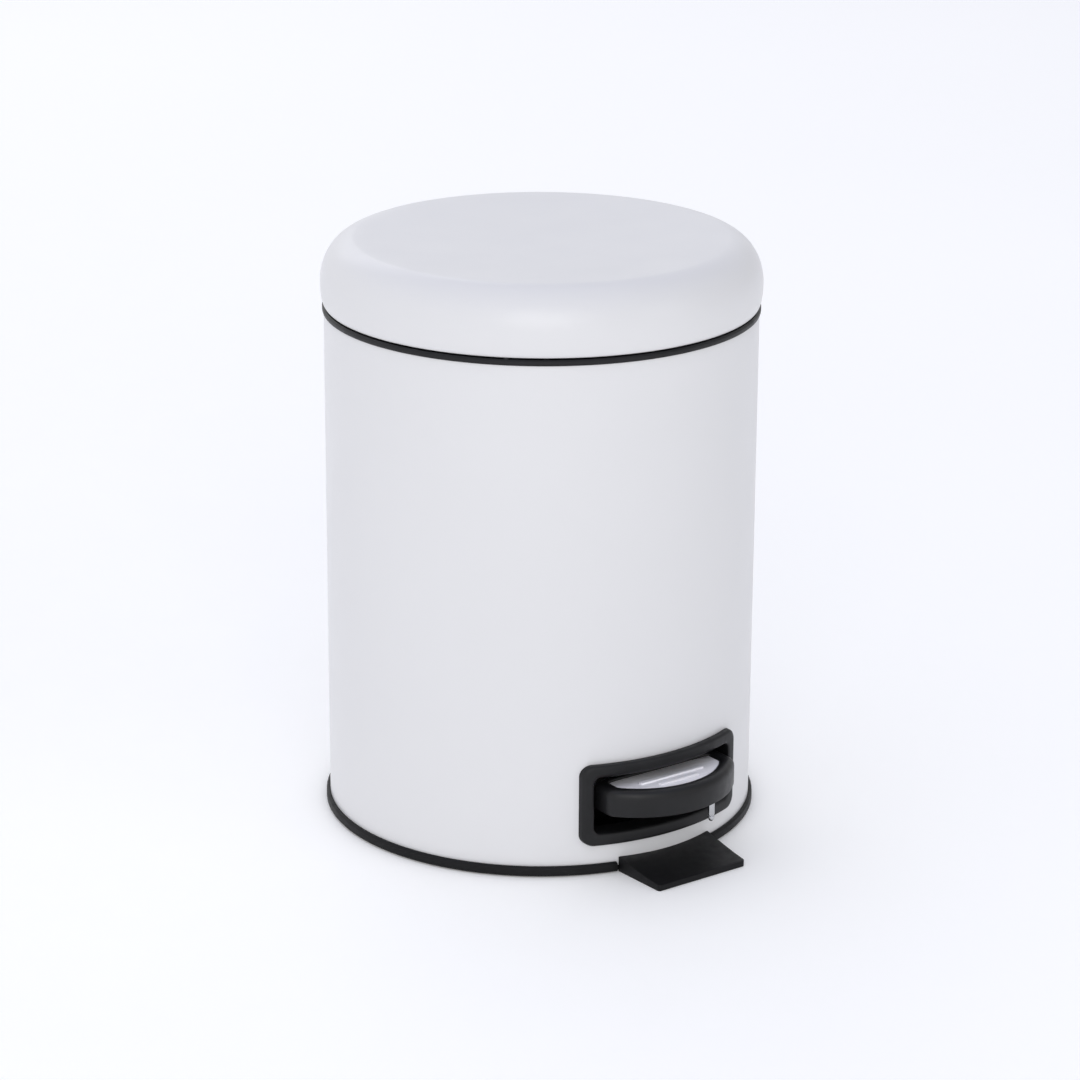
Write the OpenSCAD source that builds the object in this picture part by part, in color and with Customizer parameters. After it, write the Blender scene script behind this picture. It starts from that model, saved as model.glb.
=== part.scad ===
// Round pedal bin with a domed lid, lever and push rod mechanism and a lift-out inner bucket.
// Millimetres. Origin: centre of the base on the floor. Front (pedal) is -Y, +Z up.

/* [Body] */
// Outer radius of the sheet metal body
body_r = 100.5; // [90:0.5:125]
// Height of the body's top edge above the floor
body_top = 242; // [210:1:300]
// Thickness of the body's sheet
body_sheet = 0.6; // [0.5:0.1:1.2]

/* [Base] */
// How far the base ring stands out from the body
base_lip = 1.9; // [1.5:0.1:3]
// Height of the base ring's outer lip
base_lip_h = 5.1; // [4.5:0.1:8]
// Height of the wall inside the body that holds the body to the base
base_wall_h = 14; // [10:0.5:18]
// Thickness of the base's floor
floor_t = 2.4; // [2:0.1:4]
// Width of the rubber ring under the base
rubber_w = 10; // [6:0.5:14]

/* [Stabiliser foot] */
// Reach of the foot in front of the body
foot_reach = 26.5; // [18:0.5:40]
// Width of the foot at its front edge
foot_w = 50; // [42:1:60]
// Thickness of the foot's front edge
foot_front_t = 3; // [2:0.1:4]
// Height of the foot where it meets the body
foot_rear_t = 7.2; // [6:0.1:9]

/* [Pedal opening] */
// Half width of the opening
open_half_w = 38.6; // [37.5:0.1:42]
// Height of the opening's lower edge
open_z0 = 20.6; // [18:0.1:20.8]
// Height of the opening's upper edge
open_z1 = 48; // [46:0.1:54]
// Width of the frame's side bars
frame_side = 5.2; // [3:0.1:8]
// Height of the frame's upper and lower bars
frame_bar = 5.9; // [3:0.1:8]
// Thickness of the frame outside the body
frame_t = 3.1; // [2:0.1:4]

/* [Pedal] */
// Half width of the pedal
pedal_half_w = 36; // [32:0.1:36.5]
// Reach of the pedal in front of the body
pedal_reach = 20.5; // [15:0.5:32]
// Radius of the pedal's front curve
pedal_arc_r = 46.4; // [44:0.1:60]
// Height of the pedal's underside at rest
pedal_z = 31.5; // [31.5:0.1:33]
// Height of the pedal's rim
pedal_h = 12.5; // [11:0.1:13]
// Width of the pedal's rim around the tread
rim_w = 6.8; // [5:0.1:9]
// Thickness of the steel tread
tread_t = 1.2; // [0.8:0.1:1.5]
// Diameter of the stop pin under the pedal
stop_pin_d = 3; // [2.5:0.1:4]

/* [Lever] */
// Distance of the lever's pivot in front of the bin's centre
pivot_fwd = 27; // [22:1:32]
// Height of the lever's pivot
pivot_z = 32; // [30:0.5:33]
// Outside width of the lever
lever_w = 20; // [18:0.5:22]
// Thickness of the lever's steel
lever_t = 1.6; // [1.2:0.1:2]
// Diameter of the lever's axle
axle_d = 5; // [4:0.5:6]

/* [Push rod and lid hinge] */
// Diameter of the push rod's wire
rod_d = 3; // [2.5:0.1:3.2]
// Gap between the push rod and the inside of the body
rod_gap = 3; // [2.8:0.1:3.4]
// Distance of the lid's hinge axis behind the body
hinge_back = 4.3; // [4.2:0.1:6]
// Height of the lid's hinge axis above the body's top edge
hinge_up = 4; // [3.8:0.1:5]
// Diameter of the lid's hinge pin
hinge_pin_d = 3; // [2.5:0.1:3.5]
// How far the lid opens, in degrees
lid_open = 80; // [60:5:80]

/* [Lid] */
// Height of the lid above its lower edge
lid_h = 30.5; // [28:0.1:50]
// How far the lid stands out from the body
lid_lip = 1.5; // [1:0.1:3]
// Width of the lid's rounded shoulder
shoulder_w = 16; // [12:0.5:24]
// Height of the lid's rounded shoulder
shoulder_h = 20.2; // [14:0.1:28]
// Thickness of the lid's sheet
lid_sheet = 0.7; // [0.6:0.1:1.2]

/* [Inner bucket] */
// Outer radius of the bucket's rim
bucket_rim_r = 90; // [80:0.5:90]
// Outer radius of the bucket's bottom
bucket_foot_r = 76; // [60:1:78]
// Thickness of the bucket's wall
bucket_wall = 1.6; // [1.2:0.1:2.5]
// Height of the bucket's bottom above the floor
bucket_z = 56; // [55:1:90]
// Diameter of the bucket's carrying wire
bail_d = 2.8; // [2.4:0.1:3.2]

/* [Hidden] */
$fn = 96;
gap = 0.1;                                   // between pieces that sit in each other
run = 0.05;                                  // radial clearance of a running fit
floor_gap = 0.6;                             // height of the base above the ground, set by its rubber ring
shell_z = floor_gap + floor_t;               // underside of the floor and lower edge of the body
floor_top = shell_z + floor_t;
body_ri = body_r - body_sheet;
base_r = body_r + base_lip;
wall_t = 2.2;                                // thickness of moulded walls
wall_r = body_ri - gap;                      // outside of anything moulded that fits inside the body
pivot_y = -pivot_fwd;

rod_r = rod_d / 2;
rod_y = body_ri - rod_gap - rod_r;
rod_x = 4.8;                                 // the rod stands beside the lid's crank
hinge_y = body_r + hinge_back;
hinge_z = body_top + hinge_up;
knuckle_r = 3.5;
crank_reach = hinge_y - rod_y;               // level distance from the hinge to the rod
crank_angle = lid_open / 2;                  // the crank swings as far below level as above it
rod_travel = 2 * crank_reach * tan(crank_angle);
rod_top_z = hinge_z - rod_travel / 2;
lever_rear = rod_y - pivot_y;
lever_angle = atan(rod_travel / 2 / lever_rear);
eye_z = pivot_z - rod_travel / 2;

opening_corner = 3.5;
sleeve_t = 1.4;
sleeve_depth = 7;
frame_r = body_r + 0.1 + frame_t;

pedal_front = -(body_r + pedal_reach);
pedal_cy = pedal_front + pedal_arc_r;
pedal_back = -(body_ri - 9.5);
pedal_top = pedal_z + pedal_h;
deck_t = 3;
deck_top = pedal_top - tread_t - 1.3;
deck_z = deck_top - deck_t;

collar_lip_t = 2.6;
collar_top = body_top + collar_lip_t;
lid_gap = 0.7;                               // the lid rests on small buffers this high
collar_wall = 2.4;
ledge_z = body_top - 14;                     // top of the ledge that the bucket hangs on
ledge_t = 2;
ledge_r = bucket_rim_r - 3;

lid_r = body_r + lid_lip;
lid_z = collar_top + lid_gap;
lid_top = lid_z + lid_h;
shoulder_z = lid_top - shoulder_h - 0.2;
shoulder_r = lid_r - shoulder_w;
hem_in = 2;
hem_h = shoulder_z - lid_z;

rim_top = ledge_z + 2;
bucket_top_r = bucket_rim_r - 4.2;
bail_z = rim_top + 4.5;
bail_arc_r = bucket_rim_r - 1.6;
bail_wire_r = bail_d / 2;
grip_r = 3.8;

// ---- shared shapes ----

module tube(r_in, r_out, z0, z1) {
    translate([0, 0, z0]) difference() {
        cylinder(r = r_out, h = z1 - z0);
        translate([0, 0, -1]) cylinder(r = r_in, h = z1 - z0 + 2);
    }
}

module box(x0, x1, y0, y1, z0, z1) {
    translate([x0, y0, z0]) cube([x1 - x0, y1 - y0, z1 - z0]);
}

// a cylinder along X
module bar_x(r, x0, x1, y, z) {
    translate([x0, y, z]) rotate([0, 90, 0]) cylinder(r = r, h = x1 - x0);
}

// a profile drawn in Y and Z, given its thickness along X
module plate_yz(x0, x1) {
    translate([x0, 0, 0]) rotate([90, 0, 90]) linear_extrude(x1 - x0) children();
}

// a rounded rectangle in X and Z, standing out to the front
module window(half_w, z0, z1, r) {
    rotate([90, 0, 0]) linear_extrude(body_r + 40) union() {
        translate([-half_w, z0 + r]) square([2 * half_w, z1 - z0 - 2 * r]);
        translate([-half_w + r, z0]) square([2 * half_w - 2 * r, z1 - z0]);
        for (x = [-half_w + r, half_w - r], z = [z0 + r, z1 - r]) translate([x, z]) circle(r);
    }
}

module screw_up(x, y, z_head, head_r, head_t, r, z_end) {
    translate([x, y, z_head]) cylinder(r = head_r, h = head_t);
    translate([x, y, min(z_head, z_end)]) cylinder(r = r, h = abs(z_end - z_head) + head_t / 2);
}

// ---- base ----

rubber_at = 0.86 * body_r;
rib_t = 2;
rib_ring = 60;
foot_screw_x = 14;
foot_screw_y = -78;
boss_r = 4;
screw_r = 1.5;
bracket_dx = 18.5;
bracket_dy = 9;
tongue_half = 20;
tongue_back = -58;
tongue_t = shell_z - 0.2;
hook_half = 4;
hook_y = -70;
hook_top = floor_top + 5.6;

module base_ring_profile() {
    polygon([
        [wall_r - wall_t, floor_gap], [base_r - 0.5, floor_gap], [base_r, floor_gap + 0.6],
        [base_r - 0.1, base_lip_h - 0.9], [base_r - 0.9, base_lip_h], [body_r + gap, base_lip_h],
        [body_r + gap, shell_z], [wall_r, shell_z], [wall_r, base_wall_h], [wall_r - wall_t, base_wall_h]
    ]);
}

module base_moulding() {
    color([0.13, 0.13, 0.14]) difference() {
        union() {
            rotate_extrude() base_ring_profile();
            translate([0, 0, shell_z]) cylinder(r = wall_r - 1, h = floor_t);
            tube(rib_ring - rib_t, rib_ring, floor_gap, shell_z + 1);
            for (k = [0 : 7]) rotate([0, 0, 22.5 + 45 * k])
                box(rib_ring - 1, wall_r - 1, -rib_t / 2, rib_t / 2, floor_gap, shell_z + 1);
            for (sx = [-1, 1], sy = [-1, 1])
                translate([sx * bracket_dx, pivot_y + sy * bracket_dy, floor_gap]) cylinder(r = boss_r, h = floor_t + 1);
        }
        // room for the foot outside the body, and for its tongue under the floor
        difference() {
            box(-foot_w / 2 - 2.2, foot_w / 2 + 2.2, -base_r - 5, -80, -1, base_lip_h + 1);
            translate([0, 0, -2]) cylinder(r = body_r + gap / 2, h = base_lip_h + 4);
        }
        box(-tongue_half - 0.2, tongue_half + 0.2, -base_r - 1, tongue_back + 0.3, -1, tongue_t + 0.1);
        box(-hook_half - 0.3, hook_half + 0.3, hook_y - 2.3, hook_y + 2.3, 0, floor_top + 1);
        // channel across the ribs for the rubber ring
        tube(rubber_at - rubber_w / 2 - 0.1, rubber_at + rubber_w / 2 + 0.1, -1, shell_z);
        for (sx = [-1, 1])
            translate([sx * foot_screw_x, foot_screw_y, 0]) cylinder(r = screw_r + run, h = floor_top + 1);
        for (sx = [-1, 1], sy = [-1, 1])
            translate([sx * bracket_dx, pivot_y + sy * bracket_dy, floor_gap + 1])
                cylinder(r = screw_r + run, h = floor_top);
    }
}

// the ring is open at the front, where the foot's tongue lies
module floor_ring() {
    color([0.2, 0.2, 0.2]) difference() {
        tube(rubber_at - rubber_w / 2, rubber_at + rubber_w / 2, 0, shell_z);
        box(-tongue_half - 3, tongue_half + 3, -base_r, 0, -1, shell_z + 1);
    }
}

// the top falls in a shallow hollow curve from the body to the front edge
foot_steps = 8;
foot_front = -(body_r + foot_reach);
function foot_y(k) = -body_r + 3 + (foot_front + body_r - 3) * k / foot_steps;
function foot_z(k) = foot_front_t + (foot_rear_t - foot_front_t) * pow(1 - k / foot_steps, 1.35);

module foot_plan() {
    corner = 2;
    polygon([
        [-foot_w / 2 - 1.6, -80], [-foot_w / 2, foot_front + corner], [-foot_w / 2 + corner, foot_front],
        [foot_w / 2 - corner, foot_front], [foot_w / 2, foot_front + corner], [foot_w / 2 + 1.6, -80]
    ]);
    for (s = [-1, 1]) translate([s * (foot_w / 2 - corner), foot_front + corner]) circle(corner);
}

module stabiliser_foot() {
    color([0.1, 0.1, 0.11]) difference() {
        union() {
            difference() {
                intersection() {
                    plate_yz(-foot_w, foot_w) polygon(concat(
                        [[-body_r + 3, 0]], [for (k = [0 : foot_steps]) [foot_y(k), foot_z(k)]],
                        [[foot_front, 0.5], [foot_front + 0.5, 0]]));
                    linear_extrude(foot_rear_t + 2) foot_plan();
                }
                translate([0, 0, -1]) cylinder(r = body_r + 0.15, h = foot_rear_t + 3);
            }
            box(-tongue_half, tongue_half, -body_r - 2, tongue_back, 0, tongue_t);
            box(-hook_half, hook_half, hook_y - 2, hook_y + 2, tongue_t - 0.5, hook_top);
        }
        for (sx = [-1, 1]) translate([sx * foot_screw_x, foot_screw_y, -1]) {
            cylinder(r = screw_r + run, h = shell_z + 1);
            cylinder(r = 3.2, h = 2);
        }
    }
}

module foot_screws() {
    color([0.6, 0.6, 0.62]) for (sx = [-1, 1]) translate([sx * foot_screw_x, foot_screw_y, 0]) {
        translate([0, 0, 0.2]) cylinder(r = 2.9, h = 0.8);
        translate([0, 0, 0.5]) cylinder(r = screw_r, h = floor_top + 0.5);
    }
}

// ---- body ----

rivet_x = 14;
rivet_r = 1.6;
rivet_head_r = 2.8;
rivet_z = [body_top - 25, body_top - 9];     // the upper pair also holds the collar
notch_half = 3;
notch_z = body_top - 7;

module rivet_holes(r) {
    for (sx = [-1, 1], z = rivet_z) translate([sx * rivet_x, 0, z]) rotate([-90, 0, 0])
        cylinder(r = r, h = body_r + 20);
}

frame_screw_z = (open_z0 + open_z1) / 2;

module outer_shell() {
    color([0.9, 0.9, 0.91]) difference() {
        tube(body_ri, body_r, shell_z, body_top);
        window(open_half_w + sleeve_t + 0.2, open_z0 - sleeve_t - 0.2, open_z1 + sleeve_t + 0.2,
               opening_corner + sleeve_t);
        box(-notch_half, notch_half, 80, body_r + 5, notch_z, body_top + 1);
        rivet_holes(rivet_r + run);
    }
}

module slot_frame() {
    color([0.12, 0.12, 0.13]) difference() {
        union() {
            intersection() {
                tube(body_r + gap, frame_r, open_z0 - 10, open_z1 + 10);
                window(open_half_w + frame_side, open_z0 - frame_bar, open_z1 + frame_bar, 5);
            }
            intersection() {
                tube(body_ri - sleeve_depth, body_r + 1, open_z0 - 10, open_z1 + 10);
                window(open_half_w + sleeve_t, open_z0 - sleeve_t, open_z1 + sleeve_t,
                       opening_corner + sleeve_t - 0.2);
            }
            frame_lugs();
        }
        window(open_half_w, open_z0, open_z1, opening_corner);
        frame_screw_holes(screw_r + run);
    }
}

// lugs behind the body on both sides, which hold the frame's screws
lug_w = 9;
module frame_lugs() {
    intersection() {
        tube(body_ri - 6, body_ri - gap, frame_screw_z - 5, frame_screw_z + 5);
        union() for (s = [-1, 1])
            box(min(s * (open_half_w + 0.5), s * (open_half_w + lug_w)),
                max(s * (open_half_w + 0.5), s * (open_half_w + lug_w)),
                -body_r, 0, frame_screw_z - 5, frame_screw_z + 5);
    }
}

module frame_screw_holes(r) {
    for (s = [-1, 1]) translate([s * (open_half_w + 5.6), -body_ri + 22, frame_screw_z])
        rotate([90, 0, 0]) translate([0, 0, -4]) cylinder(r = r, h = 10.5);
}

module frame_screws() {
    color([0.6, 0.6, 0.62]) for (s = [-1, 1])
        translate([s * (open_half_w + 5.6), -body_ri + 22, frame_screw_z]) rotate([90, 0, 0]) {
            translate([0, 0, -3.4]) cylinder(r = screw_r, h = 9.4);
            translate([0, 0, -4.9]) cylinder(r = 2.8, h = 1.6);
        }
}

module collar_profile() {
    lip_r = body_r + 0.7;
    polygon([
        [ledge_r, ledge_z - ledge_t], [wall_r - collar_wall, ledge_z - ledge_t],
        [wall_r - collar_wall, ledge_z - 6], [wall_r, ledge_z - 6], [wall_r, body_top],
        [lip_r - 0.2, body_top], [lip_r, body_top + 0.6], [lip_r, collar_top - 0.8], [lip_r - 0.8, collar_top],
        [wall_r - collar_wall + 0.8, collar_top], [wall_r - collar_wall, collar_top - 0.8],
        [wall_r - collar_wall, ledge_z], [ledge_r, ledge_z]
    ]);
}

module collar() {
    color([0.12, 0.12, 0.13]) difference() {
        rotate_extrude() collar_profile();
        // room for the rod's top end, for the crank and for the rod guide
        box(-6.5, rod_x + 3.5, rod_y - 3.5, body_ri - 1.3, ledge_z - 10, collar_top + 1);
        box(-notch_half, notch_half, 80, body_r + 5, notch_z - 2, collar_top + 1);
        rivet_holes(rivet_r + run);
    }
}

buffer_r = 1.2;
module lid_buffers() {
    color([0.25, 0.25, 0.26]) for (a = [45, 135, 225, 315]) rotate([0, 0, a])
        translate([body_r - 1.2, 0, collar_top]) cylinder(r = buffer_r, h = lid_gap - run);
}

// ---- lid hinge ----

ear_x0 = 8.3;
ear_x1 = 10.8;
block_half = 18;
block_z0 = body_top - 30;
block_z1 = hinge_z - 9;

module hinge_block() {
    color([0.12, 0.12, 0.13]) difference() {
        union() {
            intersection() {
                tube(body_r + gap, body_r + 2.5, block_z0, block_z1);
                box(-block_half, block_half, 60, body_r + 5, block_z0, block_z1);
            }
            for (s = [-1, 1]) plate_yz(s > 0 ? ear_x0 : -ear_x1, s > 0 ? ear_x1 : -ear_x0) {
                translate([hinge_y, hinge_z]) circle(knuckle_r);
                polygon([
                    [hinge_y - knuckle_r, hinge_z], [hinge_y + knuckle_r, hinge_z],
                    [hinge_y + knuckle_r, hinge_z - 12], [body_r + 2, block_z0 + 1], [body_r + 0.9, block_z0 + 1],
                    [body_r + 0.9, block_z1 - 1]
                ]);
            }
        }
        bar_x(hinge_pin_d / 2, -ear_x1 - 1, ear_x1 + 1, hinge_y, hinge_z);
        rivet_holes(rivet_r + run);
    }
}

module hinge_rivets() {
    y_out = sqrt(pow(body_r + 2.5, 2) - pow(rivet_x - rivet_head_r, 2)) + 0.02;
    inner_r = [body_ri, wall_r - collar_wall];
    color([0.7, 0.7, 0.72]) for (sx = [-1, 1], k = [0, 1]) translate([sx * rivet_x, 0, rivet_z[k]])
        rotate([-90, 0, 0]) {
            y_in = sqrt(pow(inner_r[k], 2) - pow(rivet_x + rivet_head_r, 2)) - 0.02;
            translate([0, 0, y_in - 0.5]) cylinder(r = rivet_r, h = y_out - y_in + 1);
            translate([0, 0, y_in - 1]) cylinder(r = rivet_head_r, h = 1);
            translate([0, 0, y_out]) cylinder(r = rivet_head_r, h = 1);
        }
}

module hinge_pin() {
    color([0.75, 0.75, 0.77]) {
        bar_x(hinge_pin_d / 2, -ear_x1 - 0.8, ear_x1 + 0.8, hinge_y, hinge_z);
        bar_x(hinge_pin_d / 2 + 1, ear_x1 + 0.1, ear_x1 + 1.3, hinge_y, hinge_z);
        bar_x(hinge_pin_d / 2 + 0.6, -ear_x1 - 1.1, -ear_x1 - 0.1, hinge_y, hinge_z);
    }
}

// ---- lever pivot and rod guide ----

ear_gap = 1.2;
bracket_t = 2;
bracket_x = lever_w / 2 + ear_gap;
plate_t = 1.6;

module pivot_bracket() {
    color([0.62, 0.63, 0.65]) difference() {
        union() {
            box(-22, 22, pivot_y - 13, pivot_y + 13, floor_top, floor_top + plate_t);
            for (s = [-1, 1]) plate_yz(s > 0 ? bracket_x : -bracket_x - bracket_t,
                                       s > 0 ? bracket_x + bracket_t : -bracket_x) {
                translate([pivot_y, pivot_z]) circle(7);
                polygon([[pivot_y - 12, floor_top + 0.5], [pivot_y + 12, floor_top + 0.5],
                         [pivot_y + 6.9, pivot_z + 1], [pivot_y - 6.9, pivot_z + 1]]);
            }
        }
        bar_x(axle_d / 2 + run, -30, 30, pivot_y, pivot_z);
        for (sx = [-1, 1], sy = [-1, 1]) translate([sx * bracket_dx, pivot_y + sy * bracket_dy, floor_top - 1])
            cylinder(r = screw_r + run, h = 5);
    }
}

module bracket_screws() {
    color([0.55, 0.55, 0.57]) for (sx = [-1, 1], sy = [-1, 1])
        translate([sx * bracket_dx, pivot_y + sy * bracket_dy, 0]) {
            translate([0, 0, floor_top + plate_t + 0.02]) cylinder(r = 2.7, h = 1.8);
            translate([0, 0, floor_gap + 1.2]) cylinder(r = screw_r, h = floor_top + plate_t - floor_gap - 1);
        }
}

clip_x = bracket_x + bracket_t + 0.2;
clip_t = 0.8;

module pivot_axle() {
    color([0.75, 0.75, 0.77]) difference() {
        bar_x(axle_d / 2, -clip_x - 2, clip_x + 2, pivot_y, pivot_z);
        for (s = [-1, 1]) difference() {
            bar_x(axle_d, s > 0 ? clip_x : -clip_x - clip_t, s > 0 ? clip_x + clip_t : -clip_x, pivot_y, pivot_z);
            bar_x(axle_d / 2 - 0.5, -30, 30, pivot_y, pivot_z);
        }
    }
}

module axle_clips() {
    color([0.35, 0.35, 0.37]) for (s = [-1, 1]) difference() {
        bar_x(axle_d / 2 + 2, s > 0 ? clip_x + 0.05 : -clip_x - clip_t + 0.05,
              s > 0 ? clip_x + clip_t - 0.05 : -clip_x - 0.05, pivot_y, pivot_z);
        bar_x(axle_d / 2 - 0.5 + run, -30, 30, pivot_y, pivot_z);
        box(-30, 30, pivot_y - 1.6, pivot_y + 1.6, pivot_z - 10, pivot_z);
    }
}

module pivot_washers() {
    color([0.9, 0.9, 0.86]) for (s = [-1, 1]) difference() {
        bar_x(axle_d / 2 + 3, s > 0 ? lever_w / 2 + 0.1 : -bracket_x + 0.1,
              s > 0 ? bracket_x - 0.1 : -lever_w / 2 - 0.1, pivot_y, pivot_z);
        bar_x(axle_d / 2 + run, -30, 30, pivot_y, pivot_z);
    }
}

guide_half = 3.5;
guide_wall = 1.4;
guide_z0 = 62;
guide_z1 = ledge_z - 6.1;

module rod_guide() {
    guide_x0 = rod_x - guide_half - guide_wall;
    guide_x1 = rod_x + guide_half + guide_wall;
    color([0.14, 0.14, 0.15]) difference() {
        intersection() {
            box(guide_x0, guide_x1, rod_y - guide_half - guide_wall, body_r, guide_z0, guide_z1);
            translate([0, 0, guide_z0]) cylinder(r = body_ri - 0.02, h = guide_z1 - guide_z0);
        }
        box(rod_x - guide_half, rod_x + guide_half, rod_y - guide_half, body_r, guide_z0 - 1, guide_z1 + 1);
    }
}

// ---- lever and pedal ----

lever_front = pedal_front + rim_w + 3;
lever_top = deck_z - 0.05;
eye_r = rod_r + 1.9;

lever_half_h = 5.5;                          // half the lever's height at its pivot
lever_tail = eye_r - 0.6;
lever_low = lever_top - 5.4;                 // the lever's lower edge under the pedal
web_up = 0.3;                                // the web lies this far above the sides' lower edges
web_back = rod_y - 12;
web_back_z = eye_z - lever_tail + (pivot_z - lever_half_h - eye_z + lever_tail) * (rod_y - web_back) / lever_rear;

module lever_side() {
    difference() {
        union() {
            polygon([
                [lever_front, lever_top], [pedal_back, lever_top], [pivot_y, pivot_z + lever_half_h],
                [rod_y, eye_z + lever_tail], [rod_y, eye_z - lever_tail], [pivot_y, pivot_z - lever_half_h],
                [pedal_back, lever_low], [lever_front, lever_low]
            ]);
            translate([rod_y, eye_z]) circle(eye_r);
            translate([pivot_y, pivot_z]) circle(lever_half_h + 1);
        }
        translate([pivot_y, pivot_z]) circle(axle_d / 2 + run);
        translate([rod_y, eye_z]) circle(rod_r + run);
    }
}

// the web joins the two sides and stops short of the rod
module lever_web() {
    translate([0, web_up]) polygon([
        [web_back, web_back_z], [pivot_y, pivot_z - lever_half_h], [pedal_back, lever_low],
        [lever_front + 0.5, lever_low], [lever_front + 0.5, lever_low + lever_t],
        [pedal_back, lever_low + lever_t], [pivot_y, pivot_z - lever_half_h + lever_t],
        [web_back, web_back_z + lever_t]
    ]);
}

pedal_screw_y = [pedal_front + rim_w + 6.5, pedal_back - 4];
boss_z = lever_low + web_up + lever_t + 0.05;

module lever_arm() {
    color([0.6, 0.61, 0.63]) difference() {
        union() {
            for (s = [-1, 1]) plate_yz(s > 0 ? lever_w / 2 - lever_t : -lever_w / 2,
                                       s > 0 ? lever_w / 2 : -lever_w / 2 + lever_t) lever_side();
            plate_yz(-lever_w / 2 + lever_t / 2, lever_w / 2 - lever_t / 2) lever_web();
        }
        for (y = pedal_screw_y) translate([0, y, pedal_z - 5]) cylinder(r = screw_r + run, h = 12);
    }
}

module pedal_outline(inset) {
    intersection() {
        translate([0, pedal_cy]) circle(pedal_arc_r - inset);
        translate([-pedal_half_w + inset, pedal_front - 1])
            square([2 * (pedal_half_w - inset), pedal_back - pedal_front + 1 - inset * 0.35]);
    }
}

module pedal_rim() {
    color([0.11, 0.11, 0.12]) difference() {
        union() {
            difference() {
                translate([0, 0, pedal_z]) linear_extrude(pedal_h) pedal_outline(0);
                translate([0, 0, pedal_z - 1]) linear_extrude(pedal_h + 2) pedal_outline(rim_w);
            }
            translate([0, 0, deck_z]) linear_extrude(deck_t) pedal_outline(rim_w - 1);
            for (y = pedal_screw_y) translate([0, y, boss_z])
                cylinder(r = 3.4, h = deck_z - boss_z + 0.5);
        }
        // the lever runs in under the deck from behind
        box(-lever_w / 2 - 0.4, lever_w / 2 + 0.4, pedal_back - rim_w, pedal_back + 1, pedal_z - 1, deck_z);
        for (y = pedal_screw_y) translate([0, y, pedal_z - 1]) cylinder(r = screw_r + run, h = deck_top - pedal_z);
        translate([stop_pin_x, stop_pin_y, pedal_z - 1]) cylinder(r = stop_pin_d / 2, h = 6);
    }
}

module pedal_screws() {
    color([0.6, 0.6, 0.62]) for (y = pedal_screw_y) translate([0, y, 0]) {
        translate([0, 0, lever_low + web_up - 1.5]) cylinder(r = 2.7, h = 1.45);
        translate([0, 0, lever_low + web_up - 0.5]) cylinder(r = screw_r, h = deck_top - 0.8 - lever_low);
    }
}

stop_pin_x = 12;
stop_pin_y = pedal_front + rim_w / 2 + 0.4;
stop_pin_z = pedal_z - 9;

module stop_pin() {
    color([0.8, 0.8, 0.82]) translate([stop_pin_x, stop_pin_y, stop_pin_z])
        cylinder(r = stop_pin_d / 2, h = pedal_z - stop_pin_z + 4.9);
}

tread_z = deck_top + 0.02;
rib_h = 0.8;

module tread_plate() {
    color([0.72, 0.73, 0.75]) {
        translate([0, 0, tread_z]) linear_extrude(tread_t) pedal_outline(rim_w + 0.1);
        tread_rib(pedal_front + 18.5, 18);
        tread_rib(pedal_front + 13, 11);
    }
}

module tread_rib(y, half) {
    box(-half, half, y - 1.3, y + 1.3, tread_z + tread_t - 0.2, tread_z + tread_t + rib_h);
}

// ---- push rod ----

rod_low_x = lever_w / 2 + 2.2;
rod_high_x = -4.2;
rod_corner_r = rod_r + 0.1;

// both ends of the wire are turned along X: the foot to the right, the top to the left
module push_rod() {
    color([0.7, 0.7, 0.72]) {
        bar_x(rod_r, rod_x, rod_low_x, rod_y, eye_z);
        bar_x(rod_r, rod_high_x, rod_x, rod_y, rod_top_z);
        translate([rod_x, rod_y, eye_z]) cylinder(r = rod_r, h = rod_top_z - eye_z);
        for (z = [eye_z, rod_top_z]) translate([rod_x, rod_y, z]) sphere(rod_corner_r);
    }
}

module rod_clip(x, z) {
    difference() {
        bar_x(rod_r + 1.4, x, x + 0.8, rod_y, z);
        bar_x(rod_r, x - 1, x + 2, rod_y, z);
    }
}

module rod_clips() {
    color([0.35, 0.35, 0.37]) {
        rod_clip(lever_w / 2 + 0.5, eye_z);
        rod_clip(-3.2, rod_top_z);
    }
}

// ---- lid ----

lid_steps = 10;
// outside of the lid, from the flat top round the shoulder and down to the curled-in hem
function lid_outer(t) =
    [for (k = [0 : lid_steps]) let (a = 90 - 90 * k / lid_steps)
        [shoulder_r + (shoulder_w - t) * cos(a), shoulder_z + (shoulder_h - t) * sin(a)]];
function lid_hem(t) =
    [for (k = [1 : 5]) let (a = 90 * k / 5)
        [lid_r - t - hem_in * (1 - cos(a * 0.9)) / (1 - cos(81)), shoulder_z - hem_h * sin(a)]];

module lid_section() {
    out = concat(lid_outer(0), lid_hem(0));
    in = concat(lid_outer(lid_sheet), lid_hem(lid_sheet));
    polygon(concat([[0, shoulder_z + shoulder_h - 1.5]], out, [for (k = [len(in) - 1 : -1 : 0]) in[k]],
                   [[0, shoulder_z + shoulder_h - 1.5 - lid_sheet]]));
}

lid_notch_half = ear_x1 + 1.1;
lid_rivet_x = 5;
lid_rivet_z = lid_z + 9.2;

module lid_shell() {
    color([0.9, 0.9, 0.91]) difference() {
        rotate_extrude() lid_section();
        box(-lid_notch_half, lid_notch_half, 80, lid_r + 5, lid_z - 1, hinge_z + knuckle_r + 1.3);
        for (s = [-1, 1]) translate([s * lid_rivet_x, lid_r - 20, lid_rivet_z]) rotate([-90, 0, 0])
            cylinder(r = rivet_r + run, h = 40);
    }
}

slot_half = rod_r + 0.7;
crank_half = slot_half + 1.6;
crank_t = 2.5;
slot_near = crank_reach - rod_r - 0.5 + slot_half;
slot_far = crank_reach / cos(crank_angle) + rod_r + 0.5 - slot_half;
leaf_half = 7.9;
strap_z = hinge_z + 1.2;
strap_t = 2;

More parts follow.
